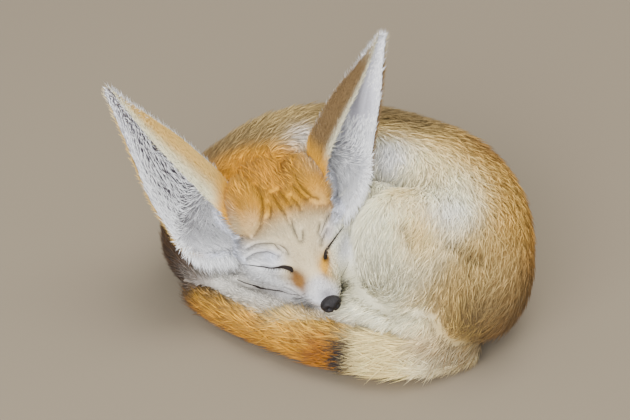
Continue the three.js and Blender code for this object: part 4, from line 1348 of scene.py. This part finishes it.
def ear_colours(t, x, inside, name):
    """Inside: grey-violet skin in the depth of the cup, near white at the rims and the root, and
    painted lighter on the left ear, for the light on it. Back: ochre, darkened as painted shade
    on the left ear, orange and white at the root, with a cream front rim and a paler tip."""
    t, x = np.broadcast_arrays(t, x)
    flat_t, flat_x = t.ravel(), x.ravel()
    rim = smoothstep(np.abs(flat_x), 0.7, 0.98)
    if inside:
        made = np.tile(EAR_SKIN, (len(flat_t), 1))
        streak = 0.12 * np.sin(23 * flat_x + 9 * flat_t) + 0.08 * np.sin(61 * flat_x - 13 * flat_t)
        deep = smoothstep(flat_t, 0.1, 0.3) * (1 - smoothstep(flat_t, 0.55, 0.8))
        share = 0.12 - 0.25 * deep + streak + (LEFT_EAR_PAINTED_LIGHT if name == "left" else 0.0)
        made = paint(made, LILAC_WHITE, share + 0.5 * rim)
        made = paint(made, WHITE, 0.8 * (1 - smoothstep(flat_t, 0.1, 0.42)))
        made = paint(made, WHITE, 0.85 * (1 - smoothstep(flat_x, -0.95, -0.45)))
        return made.reshape(*t.shape, 3)
    back_colour, rim_end = (EAR_OCHRE, -0.72) if name == "right" else (EAR_OCHRE_IN_SHADE, -0.88)
    made = np.tile(back_colour, (len(flat_t), 1))
    made = paint(made, CREAM, 0.9 * (1 - smoothstep(flat_x, -0.99, rim_end)))
    made = paint(made, ORANGE, (1 - smoothstep(flat_t, 0.2, 0.36)) * (1 - smoothstep(flat_x, 0, 0.4)))
    made = paint(made, CUP_WHITE, (1 - smoothstep(flat_t, 0.1, 0.3)) * smoothstep(flat_x, 0.3, 0.6))
    made = paint(made, CREAM, 0.5 * smoothstep(flat_t, 0.8, 1.0))
    return made.reshape(*t.shape, 3)


# %% Build an ear
EAR_ROWS = 84
EAR_COLUMNS = 44
RIM_WALL = 0.7
RIM_CROWDING = 1.15
EAR_INSET = 0.4
RIPPLE = 0.5


def build_ear(name):
    """The two walls of an ear as one closed sheet: its back, and its inside in reverse order. The
    columns crowd towards the rims. The wall thins to its rims by the root of 1 - x to the fourth
    power, and a faint ripple crosses it. Returns the object, the heights, the places round the
    arc and the two surfaces."""
    ear = EARS[name]
    t = np.linspace(0, 1, EAR_ROWS)
    x = np.linspace(-1, 1, EAR_COLUMNS)
    x = np.sign(x) * (1 - (1 - np.abs(x)) ** RIM_CROWDING)
    wall = RIM_WALL + (EAR_WALL - RIM_WALL) * np.sqrt(1 - np.abs(x) ** 4)
    ripple = RIPPLE * np.sin(9 * t[:, None] + 3 * x) * (1 - x ** 2)
    back = from_head(ear_surface(ear, t, x, ripple + EAR_INSET))
    inner = from_head(ear_surface(ear, t, x, ripple + EAR_INSET + wall * (1 - 0.5 * t[:, None])))
    rings = np.concatenate([back, inner[:, ::-1]], 1)
    made = new_mesh(f"ear_shell_{name}", *outward_grid(rings))
    tints = np.concatenate([ear_colours(t[:, None], x, False, name),
                            ear_colours(t[:, None], x, True, name)[:, ::-1]], 1)
    tints = np.vstack([tints.reshape(-1, 3), CREAM, CREAM])
    point_colours(made, "Coat", tints)
    return made, t, x, back, inner


# %% Hair of an ear
def ear_hair(layer, height, around, upward, sideways):
    """How a layer of hair grows at each point of an ear: its direction, length in millimetres,
    share of the roots, amount, lean in degrees and width. The down on the back lies up the ear;
    the down inside covers the skin; the long hair grows at both rims, across the cup at the front
    one and out over the edge at the outer one."""
    rim = smoothstep(np.abs(around), 0.62, 0.96)
    base = smoothstep(height, 0.0, 0.06)
    front = 1 - smoothstep(around, -0.5, 0.3)
    low = 1 - smoothstep(height, 0.15, 0.45)
    if layer == "back":
        over_edge = sideways * np.sign(around)[:, None]
        lie = upward + over_edge * (0.35 * rim)[:, None]
        long = 4.2 + 1.2 * rim + 7.0 * (1 - smoothstep(height, 0.15, 0.42))
        weight = base * (1 + 0.8 * rim)
        amount, lean, width = 15000, 13 + 3 * rim, 0.5
    elif layer == "inner":
        lie = upward * 0.5 + sideways * (0.9 * (front - 0.2))[:, None]
        long = 4.5 + 2.5 * rim + 3 * low
        weight = base * (1 + rim)
        amount, lean, width = 13000, 10 + 2 * rim, 0.45
    else:
        outward = (1 - front) * (0.1 + 0.8 * low)
        rise = 0.3 + (1 - front) * (0.7 - 1.45 * low)
        lie = sideways * (0.95 * front + outward)[:, None] + upward * rise[:, None]
        long = (10 + 5 * front) * (1.05 - 0.62 * height) + 6 * low * (1 - front)
        weight = base * (0.35 + 1.5 * rim * (0.4 + 0.6 * front + 0.7 * low))
        amount, lean, width = 6500, 11 + 5 * rim * front, 0.5
    return lie, long, weight, amount, lean, width


# %% Coat of an ear
FRINGE_WHITE = 0.85


def ear_layer(name, layer, t, x, surface, other, draw):
    """One layer of an ear's hair, on the surface given; the other surface tells which way is out.
    The back's map fills the left half of the unwrap and the inside's the right half."""
    flat = surface.reshape(-1, 3)
    normals = unit((surface - other).reshape(-1, 3))
    upward = unit(np.gradient(surface, axis=0).reshape(-1, 3))
    sideways = unit(np.gradient(surface, axis=1).reshape(-1, 3))
    height = np.repeat(t, EAR_COLUMNS)
    around = np.tile(x, EAR_ROWS)
    lie, long, weight, amount, lean, width = ear_hair(layer, height, around, upward, sideways)
    tints = ear_colours(t[:, None], x, layer != "back", name).reshape(-1, 3)
    if layer == "fringe":
        tints = paint(tints, WHITE, np.full(len(tints), FRINGE_WHITE))
    uv = np.stack([0.02 + 0.46 * (around + 1) / 2 + 0.5 * (layer != "back"),
                   0.02 + 0.96 * height], 1)
    quads = grid_quads(EAR_ROWS, EAR_COLUMNS)
    corners, shares, place = scatter(flat, quads, uv[quads], weight, amount, draw)
    normal = unit(at_roots(normals, corners, shares))
    toward = at_roots(lie, corners, shares) + 0.14 * draw.normal(size=(amount, 3))
    toward = unit(toward - normal * (toward * normal).sum(1, keepdims=True))
    length = at_roots(long, corners, shares) * draw.uniform(0.7, 1.15, amount)
    lean = np.radians(at_roots(lean, corners, shares)) * draw.uniform(0.6, 1.4, amount)
    tint = varied(at_roots(tints, corners, shares), draw, 0.11)
    width = width * draw.uniform(0.8, 1.3, amount)
    return tufts(f"ear_{layer}_{name}", at_roots(flat, corners, shares), normal, toward, length,
                 width, lean, tint, np.minimum(tint * 1.08, BRIGHTEST), place, draw,
                 short=layer != "fringe", sunk=0.3)


# %% Make both ears
ears = {}
for name in EARS:
    shell, t, x_arc, back, inner = build_ear(name)
    draw = np.random.default_rng(31)
    ears[name] = [
        shell,
        ear_layer(name, "back", t, x_arc, back, inner, draw),
        ear_layer(name, "inner", t, x_arc, inner, back, draw),
        ear_layer(name, "fringe", t, x_arc, inner, back, draw),
    ]
print("ears:", {name: len(pieces) for name, pieces in ears.items()}, "pieces")

# %% [markdown]
# ## Nose, eyes and mouth
#
# The nose is bare, dark and pebbled, with two comma-shaped nostrils and a groove between them.
# The closed lids meet in a dark line that thins out towards the ear, and the lips in another.
# Thin ribbons laid on the skin give these lines a sharp edge, which fur alone would lose.

# %% Nose
NOSE_AT = (49.2, 0, -6.6)
NOSE_HALF = (4.8, 6.3, 4.2)
NOSE_TILT = 18


def build_nose():
    """An egg whose points move away from its middle by a sum of bells: inward at the nostrils,
    their commas and the groove between them, and outward at the brow above each nostril."""
    rows, sides = 72, 96
    points = egg(NOSE_AT, NOSE_HALF, (0, NOSE_TILT, 0), rows, sides)
    out = unit(points - np.array(NOSE_AT))
    mirrored = points * [1, 0, 1] + np.abs(points) * [0, 1, 0]
    flat = mirrored.reshape(-1, 3)
    nostril = patch(flat, (53.4, 3.1, -6.2), (2.4, 1.35, 1.15))
    comma = patch(flat, (51.8, 5.0, -7.6), (1.9, 1.2, 0.9))
    groove = np.exp(-(flat[:, 1] / 0.55) ** 2) * (1 - smoothstep(flat[:, 2], -7.5, -5.0))
    brow = patch(flat, (51.2, 3.4, -3.2), (3.0, 2.4, 1.6))
    push = -2.3 * nostril - 1.3 * comma - 0.8 * groove + 0.5 * brow
    points = points + out * push.reshape(rows, sides, 1)
    return new_mesh("nose_pad", *outward_grid(from_head(points)))


nose = build_nose()
print("nose:", len(nose.data.polygons), "faces")

# %% Ribbons laid on the skin
carved_surface = BVHTree.FromPolygons(skin_points.tolist(), skin_quads.tolist())
RIBBON_ROWS = 40
PLACE_PASSES = 3
WAY_OUT_PASSES = 3
FREE_WAY_OUT_PASSES = 20


def on_skin(points):
    """The nearest place of the skin to each point, and the way out of the skin there."""
    found = [carved_surface.find_nearest(Vector(point)) for point in points]
    return np.array([hit[0] for hit in found]), np.array([hit[1] for hit in found])


def ribbon(stops, widths, height=0.5, raised=0.25, free=False):
    """A flat ribbon along a line on the skin: an oval as wide as widths says at each share of
    its length, and height thick, carried along the line with its flat side on the skin. A free
    one keeps to its stops instead, where the skin has a fold too sharp to follow."""
    share = np.linspace(0, 1, RIBBON_ROWS)
    line = spline(stops, share)
    place, out = on_skin(from_head(line))
    if free:
        place = from_head(line)
    for _ in range(FREE_WAY_OUT_PASSES if free else WAY_OUT_PASSES):
        out[1:-1] = unit(out[:-2] + 2 * out[1:-1] + out[2:])
    for _ in range(PLACE_PASSES):
        place[1:-1] = (place[:-2] + 2 * place[1:-1] + place[2:]) / 4
    direction = unit(np.gradient(place, axis=0))
    across = unit(np.cross(direction, out))
    wide = np.interp(share, np.linspace(0, 1, len(widths)), widths) / 2
    c, s = section(10)
    return (
        (place + out * raised)[:, None] + (wide[:, None] * c)[..., None] * across[:, None]
        + (height / 2 * np.minimum(1, wide / 0.4)[:, None] * s)[..., None] * out[:, None]
    )


# %% Dark lines and furrows
EYE_WIDTHS = [1.4, 2.8, 2.2, 1.1, 0.7, 0.6, 0.4, 0.2]
CHEEK_WIDTHS = [0.4, 1.1, 1.4, 1.3, 1.1, 0.8, 0.2]
MOUTH_WIDTHS = [0.4, 0.5, 0.5, 0.4, 0.2]
FURROW_WIDTHS = [0.1, 0.5, 0.75, 0.5, 0.1]
FURROW_SHADE = 0.3
line_rings = [ribbon(stops, EYE_WIDTHS, 0.9, 0.7) for stops in EYE_LINES.values()]
# Painted shadow: a dark ribbon along the right cheek's lower edge, where the cheek overhangs the
# foot.
line_rings.append(ribbon(CHEEK[:6], CHEEK_WIDTHS, 0.6, 0.8, free=True))
for side in (1, -1):
    line_rings.append(ribbon(np.array(MOUTH) * [1, side, 1], MOUTH_WIDTHS, 0.3, 0.1))
dark_lines = joined("dark_lines", line_rings)
# Painted shade: ribbons in the furrows and the folds of the lids, coloured like the face at a third
# of its brightness.
furrow_rings = []
for stops in (*FURROWS, *LID_FOLDS):
    raised = 0.5 + 0.9 * smoothstep(-stops[:, 0].mean(), -4, 12)
    furrow_rings.append(ribbon(stops, FURROW_WIDTHS, 0.4, raised))
furrows = joined("furrows", furrow_rings)
furrow_points = np.empty(len(furrows.data.vertices) * 3)
furrows.data.vertices.foreach_get("co", furrow_points)
furrow_points = furrow_points.reshape(-1, 3) / METRES - RING_SHIFT
point_colours(furrows, "Coat", FURROW_SHADE * face_colours(to_head(furrow_points)))
print("ribbons:", len(line_rings), "dark and", len(furrow_rings), "in furrows")

# %% [markdown]
# ## Whiskers, lashes and claws
#
# A few hairs are large enough to be seen one by one: whiskers in rows beside the nose, and short
# lashes along the closed lids. They are thin tapering rods, because a curve without thickness
# would not survive as a solid. The claws are small limbs of their own at the ends of the toes.


# %% Whiskers and lashes
LOWEST_HAIR = 0.3


def hairs(name, roots, ways, lengths, radius, droop):
    """Thin square hairs of seven rings: each runs straight along its way, bends down by droop
    times the square of its share, and thins to its tip."""
    s = np.linspace(0, 1, 7)[None, :, None, None]
    angle = 2 * np.pi * np.arange(4) / 4
    ways = unit(ways)
    side = unit(np.cross(ways, [0, 0, 1]))
    up = np.cross(side, ways)
    reach = lengths[:, None, None, None]
    middle = (roots[:, None, None] + ways[:, None, None] * reach * s
              - np.array([0, 0, 1]) * droop * reach * s * s)
    ring = np.cos(angle)[:, None] * side[:, None, None] + np.sin(angle)[:, None] * up[:, None, None]
    points = middle + ring * radius * (1 - 0.9 * s)
    points[..., 2] = np.maximum(points[..., 2], LOWEST_HAIR)
    return joined(name, points)


draw = np.random.default_rng(5)
one_side = [[x, 8.2, z] for z in (-4.5, -6.5, -8.5) for x in (36, 39, 42)]
spots = np.array(one_side * 2, float)
spots[:, 1] *= np.repeat([1, -1], len(one_side))
spots += draw.normal(0, 0.4, spots.shape)
amount = len(spots)
whisker_roots, _ = on_skin(from_head(spots))
whisker_ways = np.stack([-0.45 + 0.12 * draw.normal(size=amount), 0.95 * np.sign(spots[:, 1]),
                         -0.1 + 0.15 * draw.normal(size=amount)], 1) @ HEAD_TURN.T
whiskers = hairs("whiskers", whisker_roots, whisker_ways, draw.uniform(15, 25, amount), 0.09, 0.25)

LASHES = 16
lash_roots, lash_ways = [], []
for name, stops in EYE_LINES.items():
    line = spline(stops[:DARK_POINTS], np.linspace(0.12, 0.9, LASHES))
    sign = -1 if name == "right" else 1
    lash_roots.append(from_head(line))
    lash_ways.append(np.tile(np.array([0.25, 0.75 * sign, -0.75]) @ HEAD_TURN.T, (LASHES, 1)))
lash_roots, lash_out = on_skin(np.vstack(lash_roots))
amount = len(lash_roots)
lash_ways = np.vstack(lash_ways) + 0.12 * draw.normal(size=(amount, 3))
lashes = hairs("lashes", lash_roots + lash_out * 0.8, lash_ways, draw.uniform(2.2, 3.6, amount),
               0.16, 0.1)
print("whiskers:", len(whisker_roots), "lashes:", len(lash_roots))

# %% Claws
claw_rings = []
for toe in TOES:
    tip = np.array([-92 + toe * 2.8 + abs(toe), 1.5 + toe * 4.2, 23.5 - abs(toe)])
    way = unit(np.array([-0.82, 0.5, -0.28]))
    stops = [[*(tip - way * 2), 1.1, 1.3], [*(tip + way * 2), 0.9, 1.1],
             [*(tip + way * 4.5 - [0, 0, 0.8]), 0.35, 0.45]]
    claw_rings.append(limb(stops, rows=10, sides=12, end_round=(0.5, 0.5))[0])
claws = joined("claws", claw_rings)
print("claws:", len(claw_rings))

# %% [markdown]
# ## Materials
#
# Fur is soft and scatters light: a rough surface with a little sheen, coloured by the markings
# stored on the mesh. The bare skin under it carries the same markings and a fine grain.


# %% Material helpers
def new_material(name, roughness, specular=0.3):
    """A material with its shader, and the tools to add nodes to it."""
    material = bpy.data.materials.new(name)
    material.use_nodes = True
    shader = material.node_tree.nodes["Principled BSDF"]
    shader.inputs["Roughness"].default_value = roughness
    shader.inputs["Specular IOR Level"].default_value = specular
    return material, material.node_tree, shader


def add_node(tree, kind, **settings):
    """A node with its settings; a setting whose name is an input sets that input."""
    node = tree.nodes.new(kind)
    for key, value in settings.items():
        if key in node.inputs:
            node.inputs[key].default_value = value
        else:
            setattr(node, key, value)
    return node


def grain(tree, shader, scale, strength, distance, detail=4.0):
    """A fine random bump on the surface, from noise on the piece's own coordinates."""
    place = add_node(tree, "ShaderNodeTexCoord")
    noise = add_node(tree, "ShaderNodeTexNoise", Scale=scale, Detail=detail)
    bump = add_node(tree, "ShaderNodeBump", Strength=strength, Distance=distance)
    tree.links.new(place.outputs["Object"], noise.inputs["Vector"])
    tree.links.new(noise.outputs["Fac"], bump.inputs["Height"])
    tree.links.new(bump.outputs["Normal"], shader.inputs["Normal"])
    return noise


def two_tones(tree, shader, value, dark, light, reach=1.0):
    """Colours the surface by a pattern's value: dark at 0, light from reach onwards."""
    ramp = add_node(tree, "ShaderNodeValToRGB")
    first, last = ramp.color_ramp.elements
    first.color = (*dark, 1)
    last.color = (*light, 1)
    last.position = reach
    tree.links.new(value, ramp.inputs["Fac"])
    tree.links.new(ramp.outputs["Color"], shader.inputs["Base Color"])


# %% Fur and skin
fur, tree, shader = new_material("fur", 0.75, 0.12)
marks = add_node(tree, "ShaderNodeAttribute", attribute_name="Coat")
tree.links.new(marks.outputs["Color"], shader.inputs["Base Color"])
shader.inputs["Sheen Weight"].default_value = 0.04
shader.inputs["Sheen Roughness"].default_value = 0.5

under, tree, shader = new_material("skin_under_fur", 0.8, 0.15)
marks = add_node(tree, "ShaderNodeAttribute", attribute_name="Coat")
noise = grain(tree, shader, 900.0, 0.5, 0.0006)
shade = add_node(tree, "ShaderNodeMapRange")
shade.inputs["To Min"].default_value = 0.62
shade.inputs["To Max"].default_value = 0.95
mix = add_node(tree, "ShaderNodeMix", data_type="RGBA", blend_type="MULTIPLY")
mix.inputs["Factor"].default_value = 1.0
tree.links.new(noise.outputs["Fac"], shade.inputs["Value"])
tree.links.new(marks.outputs["Color"], mix.inputs["A"])
tree.links.new(shade.outputs["Result"], mix.inputs["B"])
tree.links.new(mix.outputs["Result"], shader.inputs["Base Color"])

# %% Nose leather, dark lines and horn
leather, tree, shader = new_material("nose_leather", 0.5, 0.25)
place = add_node(tree, "ShaderNodeTexCoord")
cells = add_node(tree, "ShaderNodeTexVoronoi", Scale=1500.0, feature="DISTANCE_TO_EDGE")
bump = add_node(tree, "ShaderNodeBump", Strength=0.6, Distance=0.0003)
tree.links.new(place.outputs["Object"], cells.inputs["Vector"])
tree.links.new(cells.outputs["Distance"], bump.inputs["Height"])
tree.links.new(bump.outputs["Normal"], shader.inputs["Normal"])
two_tones(tree, shader, cells.outputs["Distance"], (0.004, 0.0035, 0.004), (0.02, 0.016, 0.017), 0.25)

dark, tree, shader = new_material("dark_rim", 0.75, 0.12)
noise = grain(tree, shader, 1200.0, 0.4, 0.0003)
two_tones(tree, shader, noise.outputs["Fac"], (0.008, 0.006, 0.005), (0.026, 0.018, 0.015))

horn, tree, shader = new_material("horn", 0.4, 0.4)
noise = grain(tree, shader, 700.0, 0.2, 0.0002)
two_tones(tree, shader, noise.outputs["Fac"], (0.16, 0.12, 0.09), (0.36, 0.3, 0.24))
print("materials:", [material.name for material in bpy.data.materials])

# %% [markdown]
# ## Hand over
#
# Each piece gets its material and is attached to the body it rides on, and the solids that it
# replaces are hidden. The fox is still, so everything rides on one body.

# %% Hand the pieces over
FLESH = ["head", "jaw", "eyelids_left", "eyelids_right", "neck", "torso_chest", "torso_loin",
         "torso_rump", "thigh_left", "flank_left", "shank_left", "foot_hind_left",
         "foot_hind_right", "foreleg_left", "foreleg_right", "tail_base", "tail_mid", "tail_tip"]


def finish_piece(piece, material):
    """Gives a piece its material and the body it rides on."""
    piece.data.materials.append(material)
    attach(piece, "root")


finish_piece(skin, under)
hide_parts(*FLESH)
for name, piece in coat.items():
    finish_piece(piece, fur)
for name, (shell, *hair) in ears.items():
    finish_piece(shell, under)
    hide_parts(f"ear_{name}")
    for piece in hair:
        finish_piece(piece, fur)
finish_piece(nose, leather)
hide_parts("nose")
for piece in (dark_lines, lashes, whiskers):
    finish_piece(piece, dark)
finish_piece(furrows, under)
finish_piece(claws, horn)
print("pieces handed over:", 1 + len(coat) + sum(map(len, ears.values())) + 6)

# %% [markdown]
# ## Floor, light and camera
#
# The photograph was taken under a soft, bright sky, from in front and above. A broad light high
# over the back gives the fur its shine, a stronger one in front, at the left, lights the face and
# the flank, and a pale world softens the shadows. The floor is plain.

# %% Floor
FLOOR_HALF = 3.0
FLOOR_COLOUR = (0.195, 0.16, 0.113, 1)
floor_mesh = bpy.data.meshes.new("floor")
floor_mesh.from_pydata(
    [(-FLOOR_HALF, -FLOOR_HALF, 0), (FLOOR_HALF, -FLOOR_HALF, 0), (FLOOR_HALF, FLOOR_HALF, 0),
     (-FLOOR_HALF, FLOOR_HALF, 0)], [], [(0, 1, 2, 3)])
floor = bpy.data.objects.new("floor", floor_mesh)
bpy.context.scene.collection.objects.link(floor)
plain, tree, shader = new_material("plain_floor", 0.9, 0.2)
shader.inputs["Base Color"].default_value = FLOOR_COLOUR
floor_mesh.materials.append(plain)
print("floor, m:", 2 * FLOOR_HALF)


# %% Light
KEY_POWER = 30
FRONT_POWER = 64
SKY_STRENGTH = 0.95
LIT_PLACE = (0, 0, 0.04)


def area_light(name, at, target, size, energy, tint):
    """A square light at a place, turned to a target."""
    data = bpy.data.lights.new(name, "AREA")
    data.size, data.energy, data.color = size, energy, tint
    lamp = bpy.data.objects.new(name, data)
    bpy.context.scene.collection.objects.link(lamp)
    lamp.location = at
    lamp.rotation_euler = (Vector(target) - Vector(at)).to_track_quat("-Z", "Y").to_euler()


area_light("key", (0.45, 0.3, 1.55), LIT_PLACE, 1.2, KEY_POWER, (1.0, 0.98, 0.945))
area_light("fill", (-0.6, -1.45, 0.8), LIT_PLACE, 1.5, FRONT_POWER, (0.985, 0.985, 1.0))
world = bpy.data.worlds.new("soft_sky")
world.use_nodes = True
sky = world.node_tree.nodes["Background"]
sky.inputs["Color"].default_value = (0.93, 0.96, 1.0, 1)
sky.inputs["Strength"].default_value = SKY_STRENGTH
bpy.context.scene.world = world
print("lights, W:", KEY_POWER, FRONT_POWER)

# %% Camera
LOOK_AT = np.array([-22.0, 33.0, 45.0])
CAMERA_ELEVATION = 36.0
CAMERA_DISTANCE = 1300.0
PIXELS_PER_MM = 1.7
PICTURE_WIDTH = 630
SENSOR_WIDTH = 36.0
tilt = np.radians(CAMERA_ELEVATION)
back_way = np.array([0, -np.cos(tilt), np.sin(tilt)])
camera_data = bpy.data.cameras.new("camera")
camera_data.sensor_width = SENSOR_WIDTH
camera_data.lens = SENSOR_WIDTH / 2 * CAMERA_DISTANCE / (PICTURE_WIDTH / 2 / PIXELS_PER_MM)
print("lens, mm:", round(camera_data.lens, 1))
camera_data.clip_end = 50.0
camera = bpy.data.objects.new("camera", camera_data)
bpy.context.scene.collection.objects.link(camera)
camera.location = in_metres(LOOK_AT + back_way * CAMERA_DISTANCE)
camera.rotation_mode = "QUATERNION"
camera.rotation_quaternion = Vector(-back_way).to_track_quat("-Z", "Y")
bpy.context.scene.camera = camera
